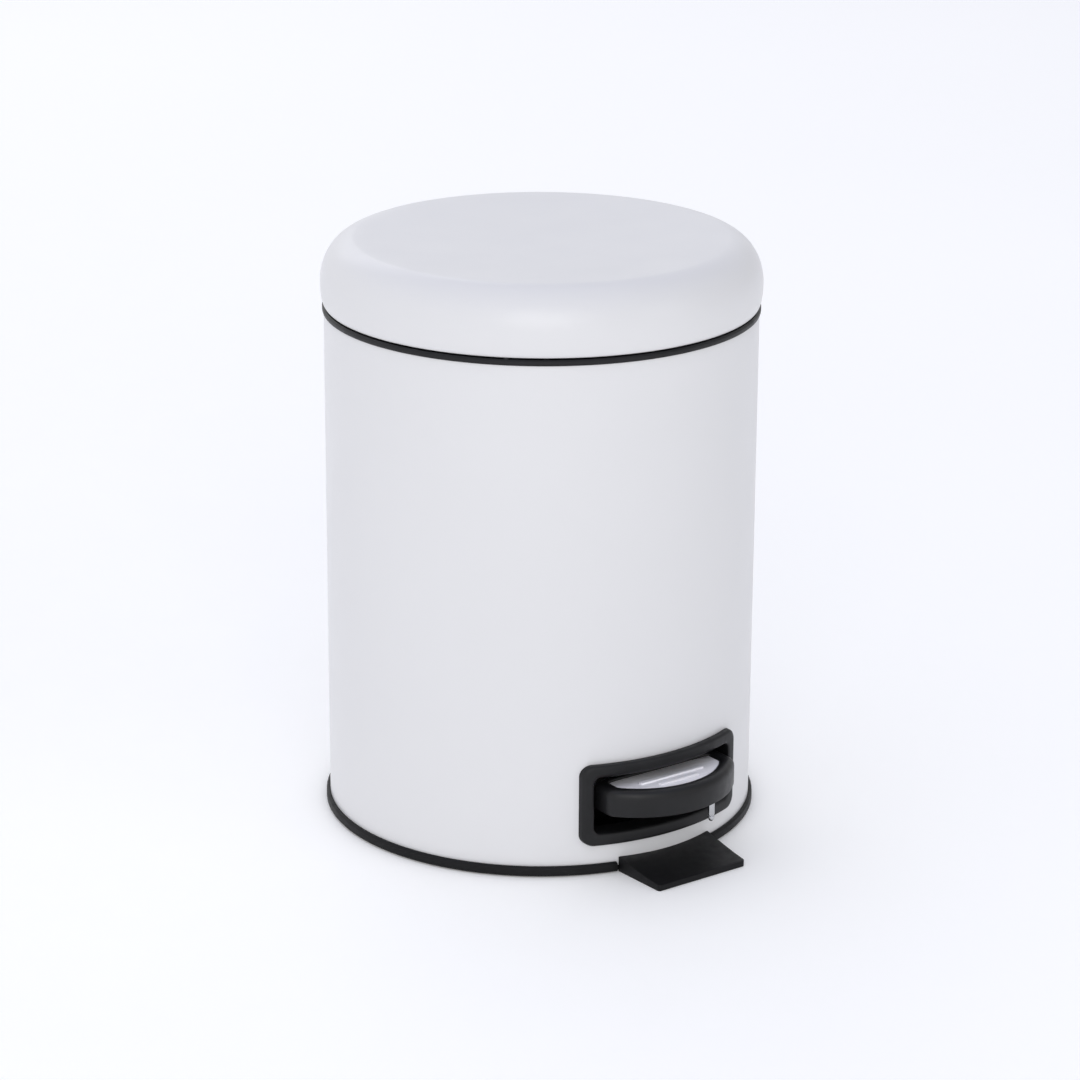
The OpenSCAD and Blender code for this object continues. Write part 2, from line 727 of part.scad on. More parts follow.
module crank_outline() {
    difference() {
        union() {
            circle(knuckle_r);
            translate([-slot_far, -crank_half]) square([slot_far - 2, 2 * crank_half]);
            translate([-slot_far, 0]) circle(crank_half);
        }
        translate([-slot_far, -slot_half]) square([slot_far - slot_near, 2 * slot_half]);
        for (d = [slot_near, slot_far]) translate([-d, 0]) circle(slot_half);
    }
}

module lid_bracket() {
    color([0.62, 0.63, 0.65]) difference() {
        union() {
            bar_x(knuckle_r, -leaf_half, leaf_half, hinge_y, hinge_z);
            plate_yz(-crank_t / 2, crank_t / 2) translate([hinge_y, hinge_z]) rotate(crank_angle) crank_outline();
            box(-leaf_half, leaf_half, lid_r - lid_sheet - 2.2, hinge_y, strap_z, strap_z + strap_t);
            intersection() {
                tube(lid_r - lid_sheet - 2.1, lid_r - lid_sheet - 0.4, strap_z, shoulder_z + 3.4);
                box(-leaf_half, leaf_half, 80, lid_r, strap_z, shoulder_z + 3.4);
            }
        }
        bar_x(hinge_pin_d / 2 + run, -20, 20, hinge_y, hinge_z);
        for (s = [-1, 1]) translate([s * lid_rivet_x, lid_r - 20, lid_rivet_z]) rotate([-90, 0, 0])
            cylinder(r = rivet_r + run, h = 40);
    }
}

module lid_rivets() {
    y_in = lid_r - lid_sheet - 2.4;
    y_out = lid_r + 0.05;
    color([0.7, 0.7, 0.72]) for (s = [-1, 1]) translate([s * lid_rivet_x, 0, lid_rivet_z]) rotate([-90, 0, 0]) {
        translate([0, 0, y_in - 0.5]) cylinder(r = rivet_r, h = y_out - y_in + 1);
        translate([0, 0, y_in - 0.9]) cylinder(r = 2.4, h = 0.8);
        translate([0, 0, y_out]) cylinder(r = 2.4, h = 0.8);
    }
}

// ---- inner bucket ----

module bucket_section() {
    foot_in = bucket_foot_r - bucket_wall;
    top_in = bucket_top_r - bucket_wall;
    polygon([
        [0, bucket_z + 1], [bucket_foot_r - 8, bucket_z + 1], [bucket_foot_r - 7, bucket_z],
        [bucket_foot_r - 2, bucket_z], [bucket_foot_r, bucket_z + 2], [bucket_top_r, rim_top - 2],
        [bucket_rim_r - 0.6, rim_top - 1.9], [bucket_rim_r, rim_top - 1.3], [bucket_rim_r, rim_top - 0.6],
        [bucket_rim_r - 0.6, rim_top], [top_in + 0.6, rim_top], [top_in, rim_top - 0.6],
        [foot_in, bucket_z + 4], [foot_in - 2, bucket_z + 1 + bucket_wall], [0, bucket_z + 1 + bucket_wall]
    ]);
}

lug_out = bail_arc_r - bail_wire_r - 0.4;
lug_in = lug_out - 2.8;

module inner_bucket() {
    color([0.16, 0.16, 0.17]) difference() {
        union() {
            rotate_extrude() bucket_section();
            for (s = [-1, 1]) plate_yz(s > 0 ? lug_in : -lug_out, s > 0 ? lug_out : -lug_in) {
                translate([0, bail_z]) circle(4);
                polygon([[-4, bail_z], [4, bail_z], [5.5, rim_top - 0.5], [-5.5, rim_top - 0.5]]);
            }
        }
        bar_x(bail_wire_r + run, -bucket_rim_r, bucket_rim_r, 0, bail_z);
    }
}

// the wire runs round the front half of the rim and turns in through the bucket's lugs
bail_end = lug_in - 2;
bail_corner_r = bail_wire_r + 0.1;
grip_angle = 16;

module bail_wire() {
    color([0.75, 0.75, 0.77]) translate([0, 0, bail_z]) {
        rotate([0, 0, 180]) rotate_extrude(angle = 180) translate([bail_arc_r, 0]) circle(bail_wire_r);
        for (s = [-1, 1]) {
            translate([s * bail_arc_r, 0, 0]) sphere(bail_corner_r);
            bar_x(bail_wire_r, s > 0 ? bail_end : -bail_arc_r, s > 0 ? bail_arc_r : -bail_end, 0, 0);
        }
    }
}

module bail_grip() {
    color([0.12, 0.12, 0.13]) difference() {
        translate([0, 0, bail_z]) rotate([0, 0, 270 - grip_angle]) rotate_extrude(angle = 2 * grip_angle)
            translate([bail_arc_r, 0]) circle(grip_r);
        translate([0, 0, bail_z]) rotate([0, 0, 180]) rotate_extrude(angle = 180)
            translate([bail_arc_r, 0]) circle(bail_wire_r);
    }
}

base_moulding();
floor_ring();
stabiliser_foot();
foot_screws();
outer_shell();
slot_frame();
frame_screws();
collar();
lid_buffers();
hinge_block();
hinge_rivets();
hinge_pin();
pivot_bracket();
bracket_screws();
pivot_axle();
axle_clips();
pivot_washers();
rod_guide();
lever_arm();
pedal_rim();
tread_plate();
pedal_screws();
stop_pin();
push_rod();
rod_clips();
lid_shell();
lid_bracket();
lid_rivets();
inner_bucket();
bail_wire();
bail_grip();
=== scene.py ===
import math

import bmesh
import bpy
from mathutils import Matrix, Vector


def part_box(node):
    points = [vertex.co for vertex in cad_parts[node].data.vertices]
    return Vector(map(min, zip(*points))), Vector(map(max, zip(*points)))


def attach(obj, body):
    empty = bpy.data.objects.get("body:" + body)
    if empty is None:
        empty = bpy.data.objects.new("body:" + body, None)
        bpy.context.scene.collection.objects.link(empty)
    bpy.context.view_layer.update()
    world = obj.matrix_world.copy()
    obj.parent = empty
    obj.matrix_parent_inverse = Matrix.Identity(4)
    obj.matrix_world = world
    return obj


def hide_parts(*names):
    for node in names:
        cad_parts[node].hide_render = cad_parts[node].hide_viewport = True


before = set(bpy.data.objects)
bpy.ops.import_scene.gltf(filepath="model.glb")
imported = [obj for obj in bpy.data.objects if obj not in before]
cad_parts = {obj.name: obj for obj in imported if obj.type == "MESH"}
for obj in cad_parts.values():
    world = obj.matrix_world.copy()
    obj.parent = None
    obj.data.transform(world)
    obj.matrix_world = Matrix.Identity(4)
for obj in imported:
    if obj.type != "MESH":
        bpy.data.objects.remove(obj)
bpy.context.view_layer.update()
mm = 0.001
print("frame loaded:", len(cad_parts), "nodes")


# camera, in millimetres and degrees, turned round the bin's upright axis
cameraView = {"azimuth": -36.0, "distance": 1624.3, "side": 3.7, "height": 675.8, "pitch": 18.63,
              "roll": 0.24, "lens": 121.17, "shift": 0.0069}


def makeCamera(v):
    turn = math.radians(v["azimuth"])
    data = bpy.data.cameras.new("binCamera")
    data.lens, data.sensor_width, data.shift_x = v["lens"], 36.0, v["shift"]
    data.clip_start, data.clip_end = 0.05, 50.0
    camera = bpy.data.objects.new("binCamera", data)
    bpy.context.scene.collection.objects.link(camera)
    spin = Matrix.Rotation(turn, 4, "Z")
    place = spin @ Vector((-v["side"], -v["distance"], v["height"])) * mm
    tilt = Matrix.Rotation(math.radians(90 - v["pitch"]), 4, "X") @ Matrix.Rotation(math.radians(v["roll"]), 4, "Z")
    camera.matrix_world = Matrix.Translation(place) @ spin @ tilt
    bpy.context.scene.camera = camera


makeCamera(cameraView)


# node trees: small helpers for materials and for geometry

def addNode(tree, kind, settings=None, inputs=None):
    node = tree.nodes.new(kind)
    for key, value in (settings or {}).items():
        setattr(node, key, value)
    for key, value in (inputs or {}).items():
        if isinstance(value, bpy.types.NodeSocket):
            tree.links.new(value, node.inputs[key])
        else:
            node.inputs[key].default_value = value
    return node


def calc(tree, operation, *values, clamp=False):
    node = addNode(tree, "ShaderNodeMath", {"operation": operation, "use_clamp": clamp}, dict(enumerate(values)))
    return node.outputs[0]


def noise(tree, scale, detail=2.0, stretch=(1, 1, 1), rough=0.5):
    place = tree.nodes.get("place") or addNode(tree, "ShaderNodeTexCoord", {"name": "place"})
    spread = addNode(tree, "ShaderNodeMapping", None, {"Vector": place.outputs["Object"], "Scale": stretch})
    made = addNode(tree, "ShaderNodeTexNoise", None,
                   {"Vector": spread.outputs[0], "Scale": scale, "Detail": detail, "Roughness": rough})
    return made.outputs[0]


def fit(tree, source, low, high):
    return addNode(tree, "ShaderNodeMapRange", None,
                   {"Value": source, "From Min": 0.3, "From Max": 0.7, "To Min": low, "To Max": high}).outputs[0]


def mixColour(tree, factor, first, second):
    ramp = addNode(tree, "ShaderNodeValToRGB", None, {"Fac": factor})
    ramp.color_ramp.elements[0].position, ramp.color_ramp.elements[1].position = 0.35, 0.65
    ramp.color_ramp.elements[0].color, ramp.color_ramp.elements[1].color = (*first, 1), (*second, 1)
    return ramp.outputs[0]


def bumps(tree, layers):
    # each layer is a height source, a strength and a depth in millimetres
    normal = None
    for source, strength, depth in layers:
        made = addNode(tree, "ShaderNodeBump", None, {"Height": source, "Strength": strength, "Distance": depth * mm})
        if normal:
            tree.links.new(normal, made.inputs["Normal"])
        normal = made.outputs[0]
    return normal


def makeMaterial(name, fixed, build):
    material = bpy.data.materials.new(name)
    material.use_nodes = True
    tree = material.node_tree
    shader = tree.nodes["Principled BSDF"]
    for key, value in fixed.items():
        shader.inputs[key].default_value = value
    for key, socket in build(tree).items():
        tree.links.new(socket, shader.inputs[key])
    return material


# powder coat: even white with a faint orange peel
coatLook = {"light": (0.706, 0.704, 0.712), "shade": (0.696, 0.694, 0.702), "peelScale": 520, "peelDepth": 0.035}


def whiteCoatNodes(tree):
    peel = noise(tree, coatLook["peelScale"], 2)
    drift = noise(tree, 9, 3)
    return {"Base Color": mixColour(tree, drift, coatLook["shade"], coatLook["light"]),
            "Roughness": fit(tree, noise(tree, 40, 4), 0.30, 0.38),
            "Normal": bumps(tree, [(peel, 0.35, coatLook["peelDepth"]), (noise(tree, 2600, 1), 0.15, 0.006)])}


def plasticNodes(light, dark, low, high, grain, depth):
    def build(tree):
        spark = noise(tree, grain, 3, rough=0.65)
        return {"Base Color": mixColour(tree, noise(tree, 60, 5), dark, light),
                "Roughness": fit(tree, noise(tree, 220, 4), low, high),
                "Normal": bumps(tree, [(spark, 0.5, depth), (noise(tree, 14, 2), 0.08, 0.25)])}
    return build


def bucketNodes(tree):
    flow = noise(tree, 30, 4, (1, 1, 0.12))       # weld and flow lines run up the wall
    return {"Base Color": mixColour(tree, flow, (0.026, 0.026, 0.028), (0.036, 0.036, 0.038)),
            "Roughness": fit(tree, noise(tree, 120, 4), 0.36, 0.48),
            "Normal": bumps(tree, [(noise(tree, 1500, 3), 0.4, 0.02), (flow, 0.15, 0.12)])}


def rubberNodes(tree):
    return {"Base Color": mixColour(tree, noise(tree, 150, 5), (0.018, 0.018, 0.019), (0.034, 0.034, 0.035)),
            "Roughness": fit(tree, noise(tree, 300, 3), 0.72, 0.9),
            "Normal": bumps(tree, [(noise(tree, 1900, 3), 0.6, 0.04)])}


def brushedNodes(tree):
    hair = noise(tree, 900, 3, (0.02, 1, 1), 0.7)   # the brushing runs across the pedal
    cloud = noise(tree, 70, 3, (0.25, 1, 1))
    return {"Base Color": mixColour(tree, hair, (0.86, 0.85, 0.88), (0.97, 0.96, 0.985)),
            "Roughness": fit(tree, cloud, 0.5, 0.62),
            "Normal": bumps(tree, [(hair, 0.4, 0.02)])}


def zincNodes(tree):
    place = tree.nodes.get("place") or addNode(tree, "ShaderNodeTexCoord", {"name": "place"})
    grains = addNode(tree, "ShaderNodeTexVoronoi", None, {"Vector": place.outputs["Object"], "Scale": 420})
    tint = mixColour(tree, grains.outputs["Color"], (0.50, 0.52, 0.56), (0.64, 0.645, 0.63))
    return {"Base Color": tint, "Roughness": fit(tree, noise(tree, 160, 4), 0.28, 0.46),
            "Normal": bumps(tree, [(noise(tree, 800, 3), 0.25, 0.02)])}


def springNodes(tree):
    return {"Base Color": mixColour(tree, noise(tree, 240, 4), (0.20, 0.20, 0.21), (0.31, 0.31, 0.32)),
            "Roughness": fit(tree, noise(tree, 500, 3), 0.3, 0.46),
            "Normal": bumps(tree, [(noise(tree, 1400, 3), 0.25, 0.015)])}


def wireNodes(tree):
    return {"Base Color": mixColour(tree, noise(tree, 180, 3), (0.46, 0.465, 0.475), (0.56, 0.56, 0.57)),
            "Roughness": fit(tree, noise(tree, 350, 3), 0.12, 0.24),
            "Normal": bumps(tree, [(noise(tree, 900, 2), 0.12, 0.01)])}


def floorNodes(tree):
    return {"Base Color": mixColour(tree, noise(tree, 1.2, 2), (0.965, 0.962, 0.945), (0.975, 0.972, 0.955)),
            "Roughness": fit(tree, noise(tree, 30, 3), 0.6, 0.75)}


whiteCoat = makeMaterial("whitePowderCoat", {"Specular IOR Level": 0.5, "Coat Weight": 0.12, "Coat Roughness": 0.28},
                         whiteCoatNodes)
blackMoulding = makeMaterial("blackMoulding", {"Specular IOR Level": 0.3},
                             plasticNodes((0.0085, 0.0085, 0.0095), (0.0055, 0.0055, 0.006), 0.38, 0.5, 1700, 0.03))
basePlastic = makeMaterial("basePlastic", {"Specular IOR Level": 0.2},
                           plasticNodes((0.006, 0.006, 0.0068), (0.004, 0.004, 0.0045), 0.46, 0.58, 1700, 0.03))
pedalPlastic = makeMaterial("pedalPlastic", {"Specular IOR Level": 0.32},
                            plasticNodes((0.0075, 0.0075, 0.0085), (0.005, 0.005, 0.0055), 0.34, 0.46, 2100, 0.025))
bucketPlastic = makeMaterial("bucketPlastic", {"Specular IOR Level": 0.5}, bucketNodes)
nylonWhite = makeMaterial("nylonWhite", {"Subsurface Weight": 0.1, "Subsurface Scale": 0.001},
                          plasticNodes((0.78, 0.77, 0.72), (0.72, 0.71, 0.66), 0.4, 0.52, 1200, 0.02))
blackRubber = makeMaterial("blackRubber", {"Specular IOR Level": 0.35}, rubberNodes)
brushedSteel = makeMaterial("brushedSteel", {"Metallic": 0.4, "Anisotropic": 0.3}, brushedNodes)
zincPlate = makeMaterial("zincPlate", {"Metallic": 1.0}, zincNodes)
springSteel = makeMaterial("springSteel", {"Metallic": 1.0}, springNodes)
brightWire = makeMaterial("brightWire", {"Metallic": 1.0}, wireNodes)
paleFloor = makeMaterial("paleFloor", {"Emission Color": (1, 1, 0.985, 1), "Emission Strength": 0.085}, floorNodes)
print("materials made")


# meshes: lathes, lofts and tubes, all in millimetres

def makePiece(name, points, faces, material, crease=32):
    mesh = bpy.data.meshes.new(name)
    mesh.from_pydata([Vector(p) * mm for p in points], [], faces)
    return showMesh(name, mesh, material, crease)


def showMesh(name, mesh, material, crease=32, tidy=True):
    if tidy:
        work = bmesh.new()
        work.from_mesh(mesh)
        bmesh.ops.remove_doubles(work, verts=work.verts, dist=1e-6)
        bmesh.ops.dissolve_degenerate(work, edges=work.edges, dist=1e-7)
        bmesh.ops.recalc_face_normals(work, faces=work.faces)
        work.to_mesh(mesh)
        work.free()
    mesh.materials.clear()
    mesh.materials.append(material)
    mesh.shade_smooth()
    mesh.set_sharp_from_angle(angle=math.radians(crease))
    piece = bpy.data.objects.new(name, mesh)
    bpy.context.scene.collection.objects.link(piece)
    return piece


def joinShells(shells):
    points, faces = [], []
    for shellPoints, shellFaces in shells:
        start = len(points)
        points += shellPoints
        faces += [tuple(k + start for k in face) for face in shellFaces]
    return points, faces


def loft(loops, ringed=False, capped=True):
    # joins closed loops of equal count; ringed closes the last loop back to the first
    count, points = len(loops[0]), [p for loop in loops for p in loop]
    faces = []
    for row in range(len(loops) if ringed else len(loops) - 1):
        low, high = row * count, (row + 1) % len(loops) * count
        for k in range(count):
            after = (k + 1) % count
            faces.append((low + k, low + after, high + after, high + k))
    if capped and not ringed:
        faces.append(tuple(reversed(range(count))))
        faces.append(tuple(range((len(loops) - 1) * count, len(loops) * count)))
    return points, faces


def lathe(profile, steps=192, axis="Z", centre=(0, 0, 0)):
    # profile is (radius, height); a closed profile is turned into a ring, one that ends on the axis into a solid
    loops = []
    for r, h in profile:
        ring = []
        for k in range(steps):
            a = 2 * math.pi * k / steps
            x, y = r * math.sin(a), -r * math.cos(a)
            p = {"Z": (x, y, h), "X": (h, x, y), "Y": (x, h, y)}[axis]
            ring.append(tuple(c + o for c, o in zip(p, centre)))
        loops.append(ring)
    onAxis = profile[0][0] < 1e-6 and profile[-1][0] < 1e-6
    return loft(loops, ringed=not onAxis, capped=False)


def roundPath(path, radius, steps=8):
    # rounds each inner corner of a path; works for profiles (2 numbers) and wires (3 numbers)
    points = [Vector(p).to_3d() if len(p) == 2 else Vector(p) for p in path]
    radii = radius if isinstance(radius, (list, tuple)) else [radius] * len(points)
    out = [points[0]]
    for k in range(1, len(points) - 1):
        here, back, ahead = points[k], points[k - 1] - points[k], points[k + 1] - points[k]
        turn = back.angle(ahead)
        cut = min(radii[k] / max(math.tan(turn / 2), 1e-6), back.length * 0.49, ahead.length * 0.49)
        if radii[k] <= 0 or cut < 1e-6:
            out.append(here)
            continue
        start, end = here + back.normalized() * cut, here + ahead.normalized() * cut
        for i in range(steps + 1):
            t = i / steps
            out.append(start * (1 - t) ** 2 + here * 2 * t * (1 - t) + end * t * t)
    out.append(points[-1])
    return [tuple(p)[:len(path[0])] for p in out]


def roundLoop(corners, radius, steps=5):
    # the same for a closed profile
    wide = [corners[-1]] + list(corners) + [corners[0]]
    radii = radius if isinstance(radius, (list, tuple)) else [radius] * len(corners)
    return roundPath(wide, [0] + list(radii) + [0], steps)[1:-1]


def tube(path, radius, sides=20, endRound=0.5):
    # a round bar along a path with softened ends; radius may be a list
    points = [Vector(p) for p in path]
    radii = list(radius) if isinstance(radius, (list, tuple)) else [radius] * len(points)
    heading = (points[1] - points[0]).normalized()
    side = heading.orthogonal().normalized()
    loops = []
    for k, p in enumerate(points):
        ahead = (points[min(k + 1, len(points) - 1)] - points[max(k - 1, 0)]).normalized()
        side = (side - ahead * side.dot(ahead)).normalized()
        other = ahead.cross(side)
        ring = lambda r, at: [tuple(at + (side * math.cos(a) + other * math.sin(a)) * r)
                              for a in (2 * math.pi * i / sides for i in range(sides))]
        r = radii[k]
        soft = min(endRound, r * 0.8)
        if k == 0:
            for t in (0, 30, 60):
                c = math.radians(t)
                loops.append(ring(r - soft + soft * math.sin(c), p + ahead * soft * (1 - math.cos(c))))
            loops.append(ring(r, p + ahead * soft))
        elif k == len(points) - 1:
            loops.append(ring(r, p - ahead * soft))
            for t in (60, 30, 0):
                c = math.radians(t)
                loops.append(ring(r - soft + soft * math.sin(c), p - ahead * soft * (1 - math.cos(c))))
        else:
            loops.append(ring(r, p))
    return loft(loops)


def roundedSlab(low, high, radius=0.4, steps=3):
    # a box with rounded upright corners and softened rims
    (x0, y0, z0), (x1, y1, z1) = low, high
    def ring(inset, z):
        corner = max(radius - inset, 0.01)
        out = []
        for cx, cy, start in ((x1 - radius, y1 - radius, 0), (x0 + radius, y1 - radius, 90),
                              (x0 + radius, y0 + radius, 180), (x1 - radius, y0 + radius, 270)):
            for i in range(steps + 1):
                a = math.radians(start + 90 * i / steps)
                out.append((cx + corner * math.cos(a), cy + corner * math.sin(a), z))
        return out
    soft = min(radius * 0.7, (z1 - z0) * 0.45)
    edge = ((soft, 0), (soft * 0.3, soft * 0.3), (0, soft))
    return loft([ring(i, z0 + d) for i, d in edge] + [ring(i, z1 - d) for i, d in reversed(edge)])


def bakeModifiers(piece):
    # the evaluated shape becomes the piece's own mesh
    graph = bpy.context.evaluated_depsgraph_get()
    mesh = bpy.data.meshes.new_from_object(piece.evaluated_get(graph))
    piece.modifiers.clear()
    old, piece.data = piece.data, mesh
    bpy.data.meshes.remove(old)


def addBevel(piece, width, angle=40, segments=2):
    edge = piece.modifiers.new("softEdge", "BEVEL")
    edge.width, edge.segments, edge.limit_method = width * mm, segments, "ANGLE"
    edge.angle_limit, edge.harden_normals = math.radians(angle), False
    return edge


def cutAway(piece, cutters, crease=32):
    # takes boxes or bars out of a closed piece
    for points, faces in cutters:
        mesh = bpy.data.meshes.new("cutter")
        mesh.from_pydata([Vector(p) * mm for p in points], [], faces)
        work = bmesh.new()
        work.from_mesh(mesh)
        bmesh.ops.recalc_face_normals(work, faces=work.faces)
        work.to_mesh(mesh)
        work.free()
        tool = bpy.data.objects.new("cutter", mesh)
        bpy.context.scene.collection.objects.link(tool)
        cut = piece.modifiers.new("cut", "BOOLEAN")
        cut.operation, cut.object, cut.solver = "DIFFERENCE", tool, "EXACT"
        bakeModifiers(piece)
        bpy.data.objects.remove(tool)
    piece.data.shade_smooth()
    piece.data.set_sharp_from_angle(angle=math.radians(crease))


def boxShape(x0, x1, y0, y1, z0, z1):
    low = [(x0, y0, z0), (x1, y0, z0), (x1, y1, z0), (x0, y1, z0)]
    return loft([low, [(x, y, z1) for x, y, z in low]])


def placePiece(piece, body, slot, *nodes):
    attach(piece, body)
    if nodes:
        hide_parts(*nodes)
    return piece


def nodeBox(node):
    low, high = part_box(node)
    return low / mm, high / mm


# geometry node trees

def startTree(name, sockets):
    tree = bpy.data.node_groups.new(name, "GeometryNodeTree")
    tree.interface.new_socket(name="Geometry", in_out="OUTPUT", socket_type="NodeSocketGeometry")
    for label, kind in sockets:
        tree.interface.new_socket(name=label, in_out="INPUT", socket_type="NodeSocket" + kind)
    return tree, tree.nodes.new("NodeGroupInput").outputs


def endTree(tree, geometry, material):
    real = addNode(tree, "GeometryNodeRealizeInstances", None, {"Geometry": geometry})
    painted = addNode(tree, "GeometryNodeSetMaterial", None, {"Geometry": real.outputs[0], "Material": material})
    out = tree.nodes.new("NodeGroupOutput")
    tree.links.new(painted.outputs[0], out.inputs[0])


def growPiece(name, tree, values, material, seeds=None, crease=32):
    # runs a tree on a carrier object and keeps the result as a plain mesh
    mesh = bpy.data.meshes.new(name + "Seeds")
    if seeds:
        mesh.from_pydata([Vector(p) * mm for p in seeds["points"]], [], [])
        for label, rows in seeds.get("vectors", {}).items():
            layer = mesh.attributes.new(label, "FLOAT_VECTOR", "POINT")
            for item, row in zip(layer.data, rows):
                item.vector = row
    carrier = bpy.data.objects.new(name + "Seeds", mesh)
    bpy.context.scene.collection.objects.link(carrier)
    run = carrier.modifiers.new(name, "NODES")
    run.node_group = tree
    keys = {s.name: s.identifier for s in tree.interface.items_tree if s.in_out == "INPUT"}
    for label, value in values.items():
        run[keys[label]] = value
    graph = bpy.context.evaluated_depsgraph_get()
    made = bpy.data.meshes.new_from_object(carrier.evaluated_get(graph))
    bpy.data.objects.remove(carrier)
    return showMesh(name, made, material, crease)


def makeRepeatTree():
    # puts one shape on every seed, turned along the seed's heading
    tree, given = startTree("repeatOnSeeds", [("Seeds", "Geometry"), ("Shape", "Object"), ("Finish", "Material")])
    heading = addNode(tree, "GeometryNodeInputNamedAttribute", {"data_type": "FLOAT_VECTOR"}, {"Name": "heading"})
    turned = addNode(tree, "FunctionNodeAlignRotationToVector", {"axis": "Z"}, {"Vector": heading.outputs[0]})
    shape = addNode(tree, "GeometryNodeObjectInfo", None, {"Object": given["Shape"], "As Instance": True})
    cloud = addNode(tree, "GeometryNodeMeshToPoints", None, {"Mesh": given["Seeds"]})
    spread = addNode(tree, "GeometryNodeInstanceOnPoints", None,
                     {"Points": cloud.outputs[0], "Instance": shape.outputs["Geometry"],
                      "Rotation": turned.outputs[0]})
    endTree(tree, spread.outputs[0], given["Finish"])
    return tree


repeatTree = makeRepeatTree()


def repeatShape(name, shape, points, heading, material, crease=32):
    # heading is one direction for all seeds or a list with one for each
    source = makePiece(name + "Shape", *shape, material, crease)
    headings = heading if isinstance(heading, list) else [heading] * len(points)
    seeds = {"points": points, "vectors": {"heading": headings}}
    piece = growPiece(name, repeatTree, {"Shape": source, "Finish": material}, material, seeds, crease)
    bpy.data.objects.remove(source)
    return piece


print("tools ready")


# lid: a dished top, a rounded shoulder and a hem that curls in

lidShape = {"radius": 102.0, "shoulderWidth": 16.0, "shoulderHeight": 20.2, "shoulderBase": 255.4, "dish": 1.6,
            "hemIn": 2.0, "hemHeight": 10.1, "hemTurn": 81.0, "sheet": 0.7, "columns": 361, "dishRows": 14,
            "shoulderRows": 22, "hemRows": 10, "notchHalf": 12.3, "notchTop": 250.8}


def makeLidTree(v):
    sizes = ["Radius", "Shoulder Width", "Shoulder Height", "Shoulder Base", "Dish", "Hem In", "Hem Height",
             "Notch Half", "Notch Top"]
    sockets = [("Seeds", "Geometry")] + [(s, "Float") for s in sizes] + [("Finish", "Material")]
    tree, given = startTree("lidDome", sockets)
    rows = v["dishRows"] + v["shoulderRows"] + v["hemRows"]
    grid = addNode(tree, "GeometryNodeMeshGrid", None,
                   {"Size X": 1.0, "Size Y": 1.0, "Vertices X": v["columns"], "Vertices Y": rows + 1})
    where = addNode(tree, "ShaderNodeSeparateXYZ", None, {0: tree.nodes.new("GeometryNodeInputPosition").outputs[0]})
    around = calc(tree, "MULTIPLY", calc(tree, "ADD", where.outputs[0], 0.5), 2 * math.pi)
    row = calc(tree, "MULTIPLY", calc(tree, "ADD", where.outputs[1], 0.5), float(rows))

    def stretch(first, count):               # 0 to 1 while the row runs through one part of the profile
        return calc(tree, "DIVIDE", calc(tree, "SUBTRACT", row, float(first)), float(count), clamp=True)

    dish, shoulder, hem = (stretch(0, v["dishRows"]), stretch(v["dishRows"], v["shoulderRows"]),
                           stretch(v["dishRows"] + v["shoulderRows"], v["hemRows"]))
    shoulderTurn = calc(tree, "MULTIPLY", shoulder, math.pi / 2)
    hemTurn = calc(tree, "MULTIPLY", hem, math.pi / 2)
    flatRadius = calc(tree, "SUBTRACT", given["Radius"], given["Shoulder Width"])
    curlTurn = calc(tree, "MULTIPLY", hemTurn, v["hemTurn"] / 90)
    curl = calc(tree, "DIVIDE", calc(tree, "SUBTRACT", 1.0, calc(tree, "COSINE", curlTurn)),
                1 - math.cos(math.radians(v["hemTurn"])))
    radius = calc(tree, "ADD", calc(tree, "MULTIPLY", flatRadius, dish),
                  calc(tree, "MULTIPLY", given["Shoulder Width"], calc(tree, "SINE", shoulderTurn)))
    radius = calc(tree, "SUBTRACT", radius, calc(tree, "MULTIPLY", given["Hem In"], curl))
    rise = calc(tree, "MULTIPLY", given["Dish"], calc(tree, "SUBTRACT", calc(tree, "POWER", dish, 3.0), 1.0))
    height = calc(tree, "ADD", given["Shoulder Base"],
                  calc(tree, "MULTIPLY", given["Shoulder Height"], calc(tree, "COSINE", shoulderTurn)))
    height = calc(tree, "ADD", height, rise)
    height = calc(tree, "SUBTRACT", height, calc(tree, "MULTIPLY", given["Hem Height"], calc(tree, "SINE", hemTurn)))
    spot = addNode(tree, "ShaderNodeCombineXYZ", None,
                   {0: calc(tree, "MULTIPLY", radius, calc(tree, "SINE", around)),
                    1: calc(tree, "MULTIPLY", radius, calc(tree, "COSINE", around)), 2: height})
    shaped = addNode(tree, "GeometryNodeSetPosition", None,
                     {"Geometry": grid.outputs[0], "Position": spot.outputs[0]})
    # the hinge's notch at the back
    at = addNode(tree, "ShaderNodeSeparateXYZ", None, {0: tree.nodes.new("GeometryNodeInputPosition").outputs[0]})
    narrow = calc(tree, "LESS_THAN", calc(tree, "ABSOLUTE", at.outputs[0]), given["Notch Half"])
    under = calc(tree, "LESS_THAN", at.outputs[2], given["Notch Top"])
    behind = calc(tree, "GREATER_THAN", at.outputs[1], 0.0)
    inNotch = calc(tree, "MULTIPLY", calc(tree, "MULTIPLY", narrow, under), behind)
    opened = addNode(tree, "GeometryNodeDeleteGeometry", {"domain": "FACE"},
                     {"Geometry": shaped.outputs[0], "Selection": inNotch})
    closed = addNode(tree, "GeometryNodeMergeByDistance", None, {"Geometry": opened.outputs[0], "Distance": 1e-6})
    endTree(tree, closed.outputs[0], given["Finish"])
    return tree


